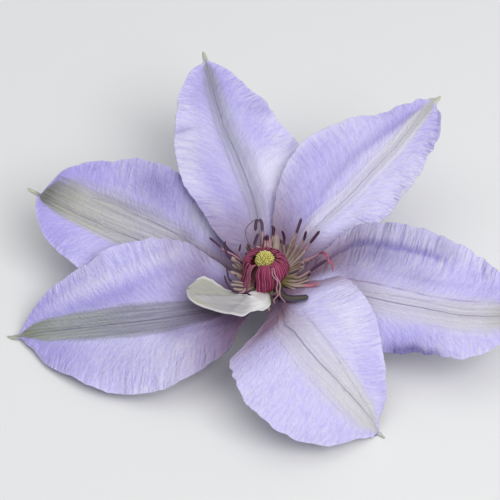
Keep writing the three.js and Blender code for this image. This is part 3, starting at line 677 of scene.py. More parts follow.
def makeTepal(name, spec, seed):
    piece, t, v, arc = gridBlade(name + "_petal", spec, bladeSizes["stepsAcross"], bladeSizes["steps"],
                                 bladeSizes["thickness"], True, lambda t, v, arc: crinkles(spec, t, v, arc, seed))
    mottled = shading["mottled"] * roughness(t * 6 + 2, v * 2 + 30, seed + 4)
    tipTint = shading["tipTint"] * smooth((t - shading["tipFrom"]) * 3)
    # the tint with its patches is the blade's own violet with painted light and shade in it; the base's flush is
    # deepened as painted shade of the flower's hollow; shade patches are painted shadow
    tint = patches(t, v, spec["tint"] + mottled + tipTint, spec["tints"])
    dusk = patches(t, v, smooth((shading["duskTo"] - t) / 0.4) ** 1.2, spec["dusks"])
    shade = patches(t, v, np.zeros(len(t)), spec["shades"])
    # folds lay violet and painted shade along their creases
    for fold in spec.get("folds", []):
        tint = tint + fold[3] * nearFold(fold, t, v, arc)
        shade = shade + fold[4] * nearFold(fold, t, v, arc)
    shifted = midribShare(spec, t, v)
    note(piece, run=t * bladeSizes["length"], arc=shifted * widthAt(v, arc), tint=tint,
         dusk=np.clip(dusk, 0, 1), shade=np.clip(shade, 0, 1), crimped=np.where(v > 0, *spec["crimped"]))
    unwrap(piece, shifted, t)
    thicken(piece, bladeSizes["thickness"], 1)
    look = dict(petalLook, **tepalLooks[name])
    under = dict(undersideLook, barLeft=look["barLeft"], barRight=look["barRight"])
    sides = [petalMaterial(name + " face", look), petalMaterial(name + " back", under)]
    return finishPiece(piece, [name], sides)


def note(piece, **values):  # keeps a number at each point for the material to read
    for name, value in values.items():
        layer = piece.data.attributes.new(name, "FLOAT", "POINT")
        layer.data.foreach_set("value", np.broadcast_to(value, len(piece.data.vertices)).astype(np.float32))


def gridBlade(name, spec, across, steps, thickness, thorn, reliefAt):  # a grid bent to the blade
    piece = added(name, bpy.ops.mesh.primitive_grid_add, x_subdivisions=across, y_subdivisions=steps, size=1)
    grid = points(piece)
    even = np.clip(grid[:, 1] + 0.5, 0, 1)
    t = mix(even, 0.5 - 0.5 * np.cos(math.pi * even), 0.6)  # closer together at both ends
    v = np.clip(grid[:, 0] * 2, -1, 1)
    v = np.sign(v) * (1 - (1 - np.abs(v)) ** 1.15)  # a little closer at the margins
    centre, side, normal, sideways, upwards, arc = bladePlaces(spec, t, v, thorn)
    crown = bladeSizes["thornCrown"] * smooth((t - 0.93) / 0.04) * (1 - v * v) * smooth((1 - t) * 60) if thorn else 0
    co = centre + side * sideways[:, None] + normal * (upwards + reliefAt(t, v, arc) + crown)[:, None]
    co[:, 2] = np.maximum(co[:, 2], surfaceLevel + thickness + bladeSizes["clearance"])
    movePoints(piece, co)
    unwrap(piece, v, t)
    return piece, t, v, arc


def unwrap(piece, across, along):  # the UV map follows the blade
    layer = piece.data.uv_layers.active
    layer.name = "UVMap"
    index = np.zeros(len(piece.data.loops), int)
    piece.data.loops.foreach_get("vertex_index", index)
    layer.data.foreach_set("uv", np.stack([across / 2 + 0.5, along], 1)[index].astype(np.float32).ravel())


def thicken(piece, thickness, back=0):
    applied(piece, "SOLIDIFY", thickness=thickness * mm, offset=-1, use_even_offset=False, material_offset=back)


for number, (name, spec) in enumerate(tepals.items()):
    makeTepal(name, spec, relief["seed"] + 7 * number)
print("tepals made")


# straps: stamens, crimson straps and shafts are cylinders drawn out along a path

def strapTemplate(name, sides, cuts):  # a cylinder one long, with rings to bend it at
    piece = added(name, bpy.ops.mesh.primitive_cylinder_add, vertices=sides, radius=1, depth=1, end_fill_type="TRIFAN")
    for edge in piece.data.edges:
        a, b = (piece.data.vertices[i].co for i in edge.vertices)
        edge.select = abs(a.z - b.z) > 0.5
    for part in list(piece.data.polygons) + list(piece.data.vertices):
        part.select = False
    bpy.context.tool_settings.mesh_select_mode = (False, True, False)  # set first, or every edge is cut
    bpy.ops.object.mode_set(mode="EDIT")
    bpy.ops.mesh.subdivide(number_cuts=cuts)
    bpy.ops.object.mode_set(mode="OBJECT")
    return piece


def copied(template, name):
    piece = template.copy()
    piece.data = template.data.copy()
    piece.name = name
    bpy.context.collection.objects.link(piece)
    return piece


def removed(piece):
    mesh = piece.data
    bpy.data.objects.remove(piece)
    bpy.data.meshes.remove(mesh)


def smoothPath(way, count=120):  # evenly spaced points on a curve through the way points
    way = np.array(way, float)
    way = np.vstack([2 * way[0] - way[1], way, 2 * way[-1] - way[-2]])
    t = np.linspace(0, len(way) - 3 - 1e-9, count)
    i = t.astype(int)
    u = (t - i)[:, None]
    a, b, c, d = way[i], way[i + 1], way[i + 2], way[i + 3]
    curve = 0.5 * (2 * b + (c - a) * u + (2 * a - 5 * b + 4 * c - d) * u * u + (3 * b - a - 3 * c + d) * u ** 3)
    step = np.concatenate([[0], np.cumsum(np.linalg.norm(np.diff(curve, axis=0), axis=1))])
    even = np.linspace(0, step[-1], count)
    return np.stack([np.interp(even, step, curve[:, k]) for k in range(3)], 1), step[-1]


def unit(v):
    return v / np.maximum(np.linalg.norm(v, axis=-1, keepdims=True), 1e-9)


def drawOut(piece, way, sizes, acrossAt, section=None):  # bends a strap along a way, and gives its points' places
    local = points(piece)
    u = np.clip(local[:, 2] + 0.5, 0, 1)
    curve, _ = smoothPath(way)
    tangent = unit(np.gradient(curve, axis=0))
    places = np.linspace(0, 1, len(curve))

    def at(values):
        return np.stack([np.interp(u, places, values[:, k]) for k in range(3)], 1)

    centre, forward = at(curve), unit(at(tangent))
    across = acrossAt(centre)
    across = unit(across - forward * np.sum(across * forward, 1, keepdims=True))
    normal = np.cross(forward, across)
    wide, thick = sizes(u)
    x, y = local[:, 0], local[:, 1]
    if section is not None:
        x, y = section(x, y, u)
    co = centre + across * (x * wide)[:, None] + normal * (y * thick)[:, None]
    movePoints(piece, co)
    return u, local[:, 0], co


def joined(pieces, name):
    startFresh()
    for piece in pieces:
        piece.select_set(True)
    bpy.context.view_layer.objects.active = pieces[0]
    bpy.ops.object.join()
    whole = bpy.context.object
    whole.name = name
    whole.data.name = name
    return whole


lean = {"x": -1.3, "y": 0.4, "from": 8.0, "to": 11.7}  # the stigmas lean, and what closes over them


def leant(co):
    share = smooth((co[..., 2] - lean["from"]) / (lean["to"] - lean["from"]))[..., None]
    return co + np.array([lean["x"], lean["y"], 0]) * share


def roundAbout(centre):  # sideways round the flower, so that a flat side faces its middle
    return unit(np.stack([-centre[:, 1], centre[:, 0], np.zeros(len(centre))], 1))


# outer stamens: the ones that the picture shows one by one, then a fill between them

outerStamens = {
    "ringZ": 5.0, "ringRadius": 4.15, "bendRadius": 6.6,
    "sides": 16, "cuts": 26,        # of one stamen's mesh
    "thick": 0.17, "antherThick": 0.3, "antherSoft": 0.5, "tip": 0.6,
    "fill": 24, "firstAzimuth": -86, "lastAzimuth": 204, "seed": 5,
    "open": (-62, -14),             # no fill between these azimuths, where the green receptacle shows
    "bareTo": 130,                  # nor anthers on the fill up to this one
    "swing": (-12, 12), "reach": (9.0, 11.6), "height": (7.4, 9.6),
    "anther": (-1.8, 1.6), "wide": (1.0, 1.5), "rosy": (0.0, 0.4),
}

# name, path in mm from the flower's base, length of the anther, width, rosy from cream to rose, and where they are
# tinged so, pink at the end and olive
shownStamens = [
    ("arch", [(-2.1, 7.1, 8.5), (-1.9, 8.4, 11.5), (-2, 10.5, 13.5), (-2.2, 12.1, 15), (-3, 12.6, 15.8),
     (-3.8, 12.1, 15.2), (-4, 10.4, 13.2)], 8, 0.95, 0.75),
    ("backLeft", [(-1.8, 6.7, 9), (-2.8, 6.3, 10.5), (-4.2, 6.9, 11), (-3.7, 8.3, 12.5),
     (-3.1, 9.2, 13.5)], 4.5, 0.9, 0.7),
    ("backShort", [(-0.2, 6.2, 9.5), (-0.5, 7.6, 11.5), (-0.6, 8.5, 13.8)], 2.2, 1.05, 0.75),
    ("backHook", [(0.1, 7.1, 8.5), (0.8, 8.4, 11), (1.2, 9.6, 13.2), (1.3, 10.2, 14.5),
     (0.7, 10.5, 15.4)], 3.6, 0.95, 0.6),
    ("backBent", [(4.4, 5.2, 8), (4.2, 6.9, 10.5), (4.4, 8.2, 12.2), (4.2, 8.7, 13.6), (3.7, 9, 15)], 5, 0.9, 0.45),
    ("tall", [(5.5, 5.6, 7.5), (6.8, 7.4, 9.5), (7.5, 8.6, 11.5), (8.1, 9.8, 13.4), (9.4, 12.9, 16)], 5, 0.9, 0.5),
    ("tallMate", [(5.1, 5.2, 8), (6, 7, 9.5), (6.5, 8, 11), (7.4, 8.7, 12.6)], 0, 0.95, 0.35),
    ("upperRight", [(6.7, 4.7, 6.8), (8.6, 5.8, 8.6), (9.7, 7.6, 11), (10.3, 8.4, 12.4),
     (10.8, 9.4, 14.4)], 3.4, 0.9, 0.55),
    ("upperRightLong", [(7, 4.5, 6.6), (9.3, 5.6, 8), (10.8, 6.7, 9.8), (12.1, 7.6, 11.3),
     (14.7, 9.3, 14.5)], 5, 1, 0.6),
    ("strapA", [(4.7, 4.8, 7.6), (5.7, 6, 9.8), (6.2, 6.6, 11.8)], 0, 1.25, 0.1),
    ("strapB", [(5.8, 4.7, 7.2), (7.3, 5.9, 9.4), (8.1, 6.7, 11)], 0, 1.35, 0.05),
    ("strapC", [(6.7, 3.5, 6.4), (8.7, 4.6, 8), (10.5, 5.8, 9.8)], 0, 1.3, 0.15),
    ("curl", [(7, 2.6, 6.6), (8.7, 2.6, 8.2), (10, 1.7, 9), (9.8, 0.5, 8.6), (8.5, 0.9, 8.4)], 0, 0.5, 0.3),
    ("rightLong", [(6.6, -1.1, 6), (8.6, -2.1, 7), (11.2, -1.3, 8.4), (13.5, -0.4, 9.8),
     (16.6, 0.9, 11.4)], 6, 1.1, 0.4),
    ("farRight", [(7, 2.1, 6.2), (9.9, 3.1, 7.6), (13.1, 3.8, 9.4), (15.5, 3.9, 11.2), (16.7, 2.2, 11.8),
     (17.2, 0.3, 11.4), (18.3, -0.7, 11.2), (18.3, -2.3, 10)], 9, 0.8, 0.9, 0.75),
    ("rightMid", [(6.9, -2.4, 5.8), (9.8, -2.3, 6.6), (12.1, -1.4, 8)], 1.5, 1.2, 0.1),
    ("rightLow", [(7.2, -4.2, 5.9), (10.1, -4.6, 6.4), (12.3, -5, 7), (14.3, -5, 8)], 0, 1.3, 0.2, 0.7),
    # a broad dark lozenge, slate and olive, is painted shade in the hollow where the right and bottom tepals' bases
    # meet
    ("fat", [(3.4, -7.2, 5.7), (4.8, -8.9, 6.4), (6.6, -9.7, 6.8), (9, -9.8, 7.1),
     (11.2, -9.7, 7.5)], 0, 2.7, 0.2, 0, 1),
    ("beigeE", [(7.9, 4.2, 6.4), (9.1, 5.7, 7.4), (9.9, 7.4, 9.0)], 0, 1.5, 0.1),
    ("beigeF", [(8.2, 2.3, 6.0), (9.9, 3.4, 7.0), (11.6, 4.3, 8.2)], 0, 1.2, 0.3),
    ("beigeG", [(8.4, -1.9, 5.6), (10.4, -1.5, 6.0), (12.1, -1.7, 6.8)], 0, 1.3, 0.1),
    ("beigeH", [(7.7, -5.1, 5.4), (9.8, -5.0, 5.8), (11.5, -5.5, 6.4)], 0, 1.2, 0.1),
    ("beigeI", [(7.5, -3.4, 5.6), (9.8, -3.1, 6.2), (11.8, -3.0, 7.0)], 0, 1.2, 0.2),
    ("beigeJ", [(6.1, 4.1, 6.6), (7.0, 5.2, 7.6), (7.6, 6.9, 9.2)], 0, 1.5, 0.0),
    ("broadA", [(1.8, 5.9, 9.0), (2.1, 7.7, 10.7), (2.0, 9.4, 12.6)], 0, 2.3, 0.15),
    ("broadB", [(0.3, 6.1, 9.2), (0.0, 7.8, 10.8), (-0.2, 9.1, 12.4)], 0, 1.4, 0.5),
    ("drapeA", [(0.7, -3.9, 13.6), (0.9, -5.4, 12), (2.3, -6.7, 10.8), (2, -8, 9), (2.5, -9.4, 8.2), (1.2, -12, 8.8),
     (1.6, -13.6, 9.4)], 0, 0.42, 0.9),
    ("drapeB", [(1.2, -3.8, 13.4), (1.5, -5, 12.2), (3, -7.1, 10.4), (2.9, -8.8, 8.6), (3.2, -10.4, 8.4),
     (4.5, -13.4, 9.6)], 0, 0.42, 0.9),
    ("leftLow", [(-6.7, -5.4, 6.2), (-7.6, -7.4, 6.8), (-9.2, -8, 7.4), (-10.7, -7.8, 8), (-12.1, -6.2, 9),
     (-13, -4.1, 10.4)], 7.5, 0.8, 0.5),
    ("leftMid", [(-7, -3.7, 6.4), (-9.1, -3.9, 7.2), (-11.4, -4, 8.2), (-12.1, -2.5, 9.6),
     (-12.3, -0.9, 11.2)], 5.5, 0.8, 0.3),
    ("leftHigh", [(-7.3, 1.3, 7.2), (-9.1, 2.4, 8.6), (-11.1, 2.2, 10), (-12.4, 3.4, 11.6), (-12.9, 5, 12.8),
     (-12.7, 6.2, 13.6)], 6, 0.7, 0.4),
    ("leftThin", [(-6.8, 2.5, 7.6), (-8.2, 2.9, 9.2), (-8.7, 4.3, 11), (-8.3, 5.9, 12.6)], 2.4, 0.6, 0.8),
    ("beigeA", [(-7, 0.9, 6.8), (-9.1, 2.2, 8), (-10.9, 3.7, 9.4)], 0, 1.6, 0.1),
    ("beigeB", [(-7, -1.8, 6.4), (-9.1, -1, 7), (-11.4, -0.7, 8)], 0, 1.5, 0.15),
    ("beigeC", [(-6.7, -4.3, 6), (-9.1, -4.5, 6.6), (-11.2, -5.1, 7.4)], 0, 1.4, 0.1),
    ("beigeD", [(-6.5, -5.6, 5.8), (-8.5, -6, 6.2), (-10.5, -6.2, 7)], 0, 1.3, 0.1),
    ("crimsonLow", [(-7.6, 4.1, 6.6), (-10.6, 6.7, 6.8), (-13.2, 8.6, 6.6), (-15.6, 11.7, 6.2),
     (-17.7, 14, 6)], 6, 0.7, 1),
    ("thread", [(-2.1, 6.7, 8), (-5, 7, 10), (-6.4, 8.1, 11.8), (-6.9, 9.8, 13.4), (-6.4, 11, 14.4),
     (-4.8, 12.2, 15.4), (-3.3, 12.8, 15.8)], 0, 0.3, 0, 0, 0.6),
    ("paleA", [(-1.2, 6.2, 9.5), (-1.1, 7.5, 11.2), (-1.3, 8.8, 12.8)], 1.5, 1, 0.7),
    ("paleB", [(1.9, 6.7, 8), (2.3, 8.2, 10.4), (2.4, 9.1, 12.4)], 0.8, 1.35, 0.3),
    ("paleC", [(3.1, 6.3, 8), (3.2, 7.7, 10), (3.2, 8.5, 11.8)], 1.5, 1.2, 0.45),
    ("stub", [(-1.0, -9.3, 5.6), (-0.5, -10.5, 4.8), (-0.1, -11.7, 4.4), (0.0, -13.0, 4.2)], 0, 0.9, 0.3),
    ("leftTop", [(-3.8, 6.2, 8.6), (-5.6, 7, 10), (-6.4, 7.5, 11)], 1.8, 0.9, 0.8),
]


def stamenMaterial():
    material, tree, surface = newMaterial("filament and anther")
    look = stamenLook
    across, olive = unsigned(tree, attribute(tree, "across")), attribute(tree, "olive")
    grain = noiseAt(tree, objectPlace(tree), look["grain"], 3.0)
    anther = blendColours(tree, ramp(tree, across, [(0.0, 0.6), (0.35, 0.0)]), look["anther"], look["connective"])
    colour = layered(
        tree, look["cream"],
        (attribute(tree, "rosy"), look["rose"]),
        (ramp(tree, attribute(tree, "along"), [(0.0, 1.0), (0.2, 0.8), (0.38, 0.0)]), look["base"]),
        # darker along both edges: painted shade in the gaps between neighbouring filaments
        (ramp(tree, across, [(0.55, 0.0), (0.95, 0.75)]), look["edge"]),
        (ramp(tree, across, [(0.0, 0.4), (0.2, 0.0)]), look["pale"]),
        (attribute(tree, "anther"), anther),
        (attribute(tree, "pink"), look["pink"]),
        # olive and slate give the thread its dark green, and paint the dark lozenge at the tepals' bases as painted
        # shade
        (olive, look["slate"]),
        (times(tree, olive, ramp(tree, across, [(0.1, 0.7), (0.5, 0.0)])), look["olive"]),
        (times(tree, grain, 0.35), look["shade"], "MULTIPLY"))
    finishMaterial(tree, surface, look, colour, grain)
    return material


stamenLook = {
    "cream": (0.4, 0.34, 0.28),
    "rose": (0.5, 0.22, 0.32),
    "base": (0.25, 0.22, 0.05),
    # the edge colour is painted shade along a filament's edges, in the gaps between them
    "edge": (0.1, 0.04, 0.05),
    "pale": (0.68, 0.6, 0.55),
    "anther": (0.045, 0.012, 0.045),
    "connective": (0.3, 0.1, 0.22),
    "shade": (0.6, 0.5, 0.5),
    "pink": (0.62, 0.14, 0.24),
    # slate and olive: the thread's own dark green, and painted shade on the lozenge between the tepals' bases
    "slate": (0.06, 0.05, 0.08), "olive": (0.14, 0.13, 0.05),
    "grain": 2200.0,
    "bump": (0.35, 0.00012),
    "surface": {"Roughness": 0.5, "Subsurface Weight": 0.15, "Subsurface Radius": (0.0006, 0.0004, 0.0004),
                "Subsurface Scale": 1.0},
}


def stamen(template, name, way, antherLength, wide, rosy, pink=0.0, olive=0.0):
    piece = copied(template, name)
    _, length = smoothPath(way)
    start = 1 - antherLength / length
    soft = outerStamens["antherSoft"] / length

    def antherAt(u):
        return smooth((u - start) / soft) if antherLength > 0 else np.zeros(len(u))

    def sizes(u):
        tip = smooth((1 - u) / (outerStamens["tip"] / length))
        neck = 1 - 0.35 * np.exp(-((u - start) / 0.04) ** 2) * (antherLength > 0)
        half = wide / 2 * mix(0.8, 1.0, smooth(u * 3)) * neck * mix(0.25, 1.0, tip)
        thick = min(outerStamens["thick"], wide * 0.45)
        thick = mix(thick, min(outerStamens["antherThick"], wide * 0.5), antherAt(u))
        return half, thick * mix(0.4, 1.0, tip)

    def section(x, y, u):  # an anther has a pollen sac along each edge
        groove = antherAt(u) * 0.5 * np.exp(-(x / 0.35) ** 2)
        return x, y * (1 - groove)

    u, x, _ = drawOut(piece, way, sizes, roundAbout, section)
    grown = 1.0 if name.startswith("drape") else u  # only a stamen's foot is green
    note(piece, along=grown, across=x, anther=antherAt(u), rosy=rosy, pink=pink * smooth((u - 0.5) * 4), olive=olive)
    return piece


def makeOuterStamens():
    spec = outerStamens
    random = np.random.RandomState(spec["seed"])
    template = strapTemplate("stamenTemplate", spec["sides"], spec["cuts"])
    radius, ring, bend = spec["ringRadius"], spec["ringZ"], spec["bendRadius"]
    made = []
    for name, path, anther, wide, rosy, *tinge in shownStamens:
        way = np.array(path)
        if not name.startswith("drape"):  # the draped ones start from the stigmas
            turn = math.atan2(way[0][1], way[0][0])
            foot = np.array([radius * math.cos(turn), radius * math.sin(turn), ring])
            way = np.vstack([foot, way])
        made.append(stamen(template, name, way, anther, wide, rosy, *tinge))
    for i in range(spec["fill"]):
        azimuth = mix(spec["firstAzimuth"], spec["lastAzimuth"], (i + 0.4 * random.rand()) / spec["fill"])
        swing, reach, height, anther, wide, rosy = (
            random.uniform(*spec[key]) for key in ("swing", "reach", "height", "anther", "wide", "rosy"))
        if spec["open"][0] < azimuth < spec["open"][1]:
            continue
        way = [(radius, ring), (bend, ring), (mix(bend, reach, 0.55), mix(ring, height, 0.35)), (reach, height)]
        turns = math.radians(azimuth) + math.radians(swing) * np.linspace(0, 1, len(way)) ** 2
        way = np.array([(r * math.cos(turn), r * math.sin(turn), z) for turn, (r, z) in zip(turns, way)])
        made.append(stamen(template, "fill", way, max(0, anther) * (azimuth > spec["bareTo"]), wide, rosy))
    removed(template)
    whole = joined(made, "outer_stamens_ring")
    return finishPiece(whole, ["outer_stamens"], [stamenMaterial()])


makeOuterStamens()

# inner stamens: broad crimson straps that close over the stigmas

innerStamens = {
    "count": 60, "half": 0.5, "thick": 0.15, "seed": 3,
    "sides": 12, "cuts": 26,        # of one strap's mesh
    "uneven": 0.35, "swing": 3.5,   # how far a strap stands and swings from its even place, in shares and degrees
    "wobble": 0.03, "wide": (0.85, 1.15), "shorter": 0.15,
    "inner": (0.05, 0.25),          # every second strap has less reach and height
    "aside": -0.8,                  # the ring stands left of the receptacle's middle
    # the straps that stand back are painted near black, as painted shade
    "shadedGap": (234, 247),              # straps between these azimuths stand back in the dark
    "mauve": (212, 233),            # and these are paler
    "splayed": (222, 30, 2.0),      # azimuth, reach round it and how far out the feet are
    "raised": (-34, 32, 3.4),       # azimuth, reach round it and how high the feet stop, over the green receptacle
    "curled": (195, 32, 1.0),       # these curl over into a hollow beside the stigmas
    # the low ones at the back are also painted darker, as painted shade
    "low": (90, 60, 1.5),
    "swings": [(0, 0), (150, 0), (190, -10), (228, -2), (250, -3), (270, 6), (290, 16), (315, 9), (345, 0), (360, 0)],
    "profile": [(2.9, 7.0), (4.7, 6.1), (6.2, 5.5), (6.7, 7.0), (6.6, 9.4), (6.2, 11.4), (5.1, 13.0), (3.3, 13.5)],
}

innerLook = {
    "deep": (0.17, 0.01, 0.045),
    "crimson": (0.4, 0.03, 0.12),
    "line": (0.66, 0.27, 0.4),
    "foot": (0.36, 0.14, 0.14),
    "mauve": (0.36, 0.16, 0.22),
    # near black, painted as shade on the straps that stand back
    "shadedGap": (0.035, 0.008, 0.015),
    "bump": (0.4, 0.0002),
    "surface": {"Roughness": 0.5, "Specular IOR Level": 0.3},
}


def crimsonMaterial():
    material, tree, surface = newMaterial("crimson straps")
    look = innerLook
    across, far, shade = (attribute(tree, name) for name in ("across", "along", "shade"))
    where = axes(tree, times(tree, across, 5.0), times(tree, far, 4.0), times(tree, shade, 40.0))
    streak = noiseAt(tree, where, 1.0, 3.0)
    # streaks are the straps' own deeper crimson; the shade number is random tone with painted shade on the low straps
    # at the back, and the straps that stand back are painted near black as shade
    colour = layered(
        tree, look["crimson"],
        (ramp(tree, streak, [(0.35, 0.0), (0.7, 1.0)]), look["deep"]),
        (times(tree, shade, 0.5), look["deep"]),
        (ramp(tree, unsigned(tree, across), [(0.66, 0.0), (0.82, 0.9), (0.95, 0.3)]), look["line"]),
        (ramp(tree, far, [(0.0, 1.0), (0.22, 0.3), (0.34, 0.0)]), look["foot"]),
        (attribute(tree, "mauve"), look["mauve"]),
        (attribute(tree, "back"), look["shadedGap"]))
    finishMaterial(tree, surface, look, colour, streak)
    return material


def nearAzimuth(azimuth, place):  # how much a swelling round one azimuth adds at another
    middle, reach, amount = place
    apart = (azimuth - middle + 180) % 360 - 180
    return amount * math.exp(-(apart / reach) ** 2)


def makeInnerStamens():
    spec = innerStamens
    random = np.random.RandomState(spec["seed"])
    template = strapTemplate("strapTemplate", spec["sides"], spec["cuts"])
    made = []
    for i in range(spec["count"]):
        turn = 2 * math.pi * (i + spec["uneven"] * random.uniform(-1, 1)) / spec["count"]
        azimuth = math.degrees(turn) % 360
        swing = random.uniform(-spec["swing"], spec["swing"]) + np.interp(azimuth, *np.array(spec["swings"]).T)
        layer = i % 2
        back = float(spec["shadedGap"][0] < azimuth < spec["shadedGap"][1])
        mauve = 0.4 * (spec["mauve"][0] < azimuth < spec["mauve"][1])
        splayed, lifted, curled, low = (
            nearAzimuth(azimuth, spec[key]) for key in ("splayed", "raised", "curled", "low"))
        way = []
        for k, (r, z) in enumerate(spec["profile"][: 8 - (random.rand() < spec["shorter"]) - 2 * int(back)]):
            bend = turn + math.radians(swing) * (k / 7) ** 2
            grow = (1 - spec["inner"][0] * layer) * (1 + spec["wobble"] * random.uniform(-1, 1))
            splay = splayed * max(0, 1 - abs(k - 2.4) / 2)
            raised = lifted * max(0, 1 - k / 4.5)
            r = r + splay - 0.75 * raised * (r > 3) - 2.2 * back * (k > 1) + 0.9 * curled * (k > 6)
            z = z - 0.5 * splay + raised - 2.2 * curled * (k > 6) - low * smooth((k - 2) / 3) - spec["inner"][1] * layer
            way.append((r * grow * math.cos(bend), r * grow * math.sin(bend), z))
        way = np.array(way)
        way[:, 0] += spec["aside"] * (1 - smooth((way[:, 2] - 8) / 3.7))
        piece = copied(template, "strap")
        wide = random.uniform(*spec["wide"])

        def sizes(u):
            half = spec["half"] * wide * mix(0.5, 1.0, smooth(u * 3)) * mix(0.45, 1.0, smooth((1 - u) * 4))
            return half, np.full(len(u), spec["thick"])

        def section(x, y, u):  # thin in the middle, thicker along both edges
            return x, y * (0.55 + 0.9 * np.minimum(np.abs(x), 0.8) ** 2)

        u, x, _ = drawOut(piece, leant(way), sizes, roundAbout, section)
        # the shade number is random tone, with painted shade added on the low straps at the back
        note(piece, along=u, across=x, shade=random.rand() + low, back=back, mauve=mauve)
        made.append(piece)
    removed(template)
    whole = joined(made, "inner_stamens_ring")
    return finishPiece(whole, ["inner_stamens"], [crimsonMaterial()])


makeInnerStamens()

# pistils: a column of styles under a head of small knobs

pistils = {
    "radius": 2.25, "z": 11.9, "seed": 8,
    "knobs": 150, "knob": 0.29, "covered": 1.25,  # how far down the head the knobs go, in radii
    "uneven": 0.06, "sizes": (0.8, 1.12), "longer": (0.9, 1.7), "lifts": (0.75, 1.0),
    "columnRadius": 1.8, "seatZ": 6.7, "sides": 20, "cuts": 10, "ribs": 10, "ribHeight": 0.06,
}
pistilLook = {
    # the knobs' own yellow-green grows darker down between them and on the core, as painted shade, and lighter at their
    # outer tips, as painted light
    "shadedGap": (0.3, 0.26, 0.05), "knob": (0.6, 0.52, 0.1), "tip": (0.85, 0.79, 0.34), "shade": (0.6, 0.62, 0.3),
    "grain": 1800.0,
    "bump": (0.5, 0.00015),
    "surface": {"Roughness": 0.6, "Subsurface Weight": 0.2, "Subsurface Radius": (0.0006, 0.0006, 0.0002),
                "Subsurface Scale": 1.0},
}


def pistilMaterial():
    material, tree, surface = newMaterial("stigma green")
    look = pistilLook
    grain = noiseAt(tree, objectPlace(tree), look["grain"], 3.0)
    # darker down between the knobs as painted shade, lighter at their outer tips as painted light
    colour = layered(
        tree, ramp(tree, attribute(tree, "lift"), [(0.0, look["shadedGap"]), (0.55, look["knob"]), (1.0, look["tip"])]),
        (times(tree, grain, 0.4), look["shade"], "MULTIPLY"))
    finishMaterial(tree, surface, look, colour, grain)
    return material


def makePistils():
    spec = pistils
    random = np.random.RandomState(spec["seed"])
    knob = added("knobTemplate", bpy.ops.mesh.primitive_ico_sphere_add, subdivisions=2, radius=1)
    ball = points(knob)
    made = []
    middle = leant(np.array([[0, 0, spec["z"]]]))[0]
    for k in range(spec["knobs"]):
        z = 1 - spec["covered"] * (k + 0.5) / spec["knobs"]
        turn = k * math.pi * (3 - math.sqrt(5))
        flat = math.sqrt(max(0, 1 - z * z))
        even = np.array([flat * math.cos(turn), flat * math.sin(turn), z])
        out = unit(even + random.uniform(-spec["uneven"], spec["uneven"], 3))
        size = spec["knob"] * random.uniform(*spec["sizes"])
        longer = random.uniform(*spec["longer"])  # each stigma stands out a little differently
        piece = copied(knob, "knob")
        reach = np.clip(ball @ out, -1, 1)
        co = ball * size + out * (reach * size * longer)[:, None]
        movePoints(piece, middle + out * spec["radius"] + co)
        note(piece, lift=smooth(reach * 0.5 + 0.5) * random.uniform(*spec["lifts"]))
        made.append(piece)
    removed(knob)
    core = added("core", bpy.ops.mesh.primitive_uv_sphere_add, segments=24, ring_count=14, radius=1)
    movePoints(core, points(core) * (spec["radius"] + 0.1) + middle)
    # the core under the knobs takes the darkest colour, as painted shade
    note(core, lift=0.0)
    column = strapTemplate("column", spec["sides"], spec["cuts"])
    way = leant(np.array([(0, 0, z) for z in np.linspace(spec["seatZ"], spec["z"] - 0.5, 6)]))

    def ribbed(x, y, u):
        ribs = 1 + spec["ribHeight"] * np.cos(spec["ribs"] * np.arctan2(y, x))
        return x * ribs, y * ribs

    drawOut(column, way, lambda u: (np.full(len(u), spec["columnRadius"]),) * 2,
            lambda centre: np.tile([1.0, 0, 0], (len(centre), 1)), ribbed)
    note(column, lift=0.4)
    whole = joined([core, column] + made, "pistil_head")
    return finishPiece(whole, ["pistils"], [pistilMaterial()])


makePistils()

# the petaloid: a stamen that grew into a small curled petal

petaloid = {
    "azimuth": 188, "midrib": [(2, 4.8, 4), (2.5, 20.8, 13.5), (17.1, 6.3, 3.8), (24.1, 2.4, 6)],
    "roll": (0, 6, 0), "gutter": 0, "claw": 1.3, "thickness": 0.45,
    "steps": 130, "stepsAcross": 70,  # of its mesh
    "left": {"width": 4.6, "widest": 0.7, "slim": 0.5, "blunt": 0.36, "bend": (-70, -18, 20), "waves": (2, 0.3, 0.2),
             "edge": [(0.03, -1), (0.07, -1.5), (0.12, -1.45), (0.16, -1.1), (0.2, -1.2), (0.25, -1.6), (0.3, -2.1),
                      (0.36, -1.7), (0.44, 0), (0.6, -0.2), (0.72, -0.7), (0.86, 0), (0.92, 0.2)]},
    "right": {"width": 4.4, "widest": 0.74, "slim": 0.6, "blunt": 0.36, "bend": (10, -6, 28), "waves": (2, 0.3, 0.6),
              "edge": [(0.04, 1.1), (0.1, 1.6), (0.16, 1.6), (0.2, 0.9), (0.25, 0), (0.3, -0.7), (0.37, -1),
                       (0.44, -0.2), (0.52, 0.1), (0.68, 0), (0.76, 0.7), (0.84, 1.7), (0.92, 2.3), (0.96, 1.8)]},
    # way from base to tip, width and depth; the first one parts the lobe from the rest
    "folds": [([(0.5, -0.9), (0.62, -0.62), (0.75, -0.28), (0.93, 0.2)], 0.55, 0.7),
              ([(0.5, -0.7), (0.62, -0.4), (0.75, -0.05), (0.9, 0.4)], 0.9, -0.3),
              ([(0.4, 0.05), (0.6, 0.25), (0.85, 0.7)], 0.6, 0.12)],
    # height, place and reach: the base is vaulted, with a raised lip, and a ridge crosses the middle
    "vault": (0.3, 0.2, 0.12), "lip": (0.7, 0.08, 0.07), "ridge": (0.2, 0.46, 0.03),
    "wavy": 0.18, "stain": (0.82, 0.85, 0.09, 0.25, 0.6), "seed": 77,
}
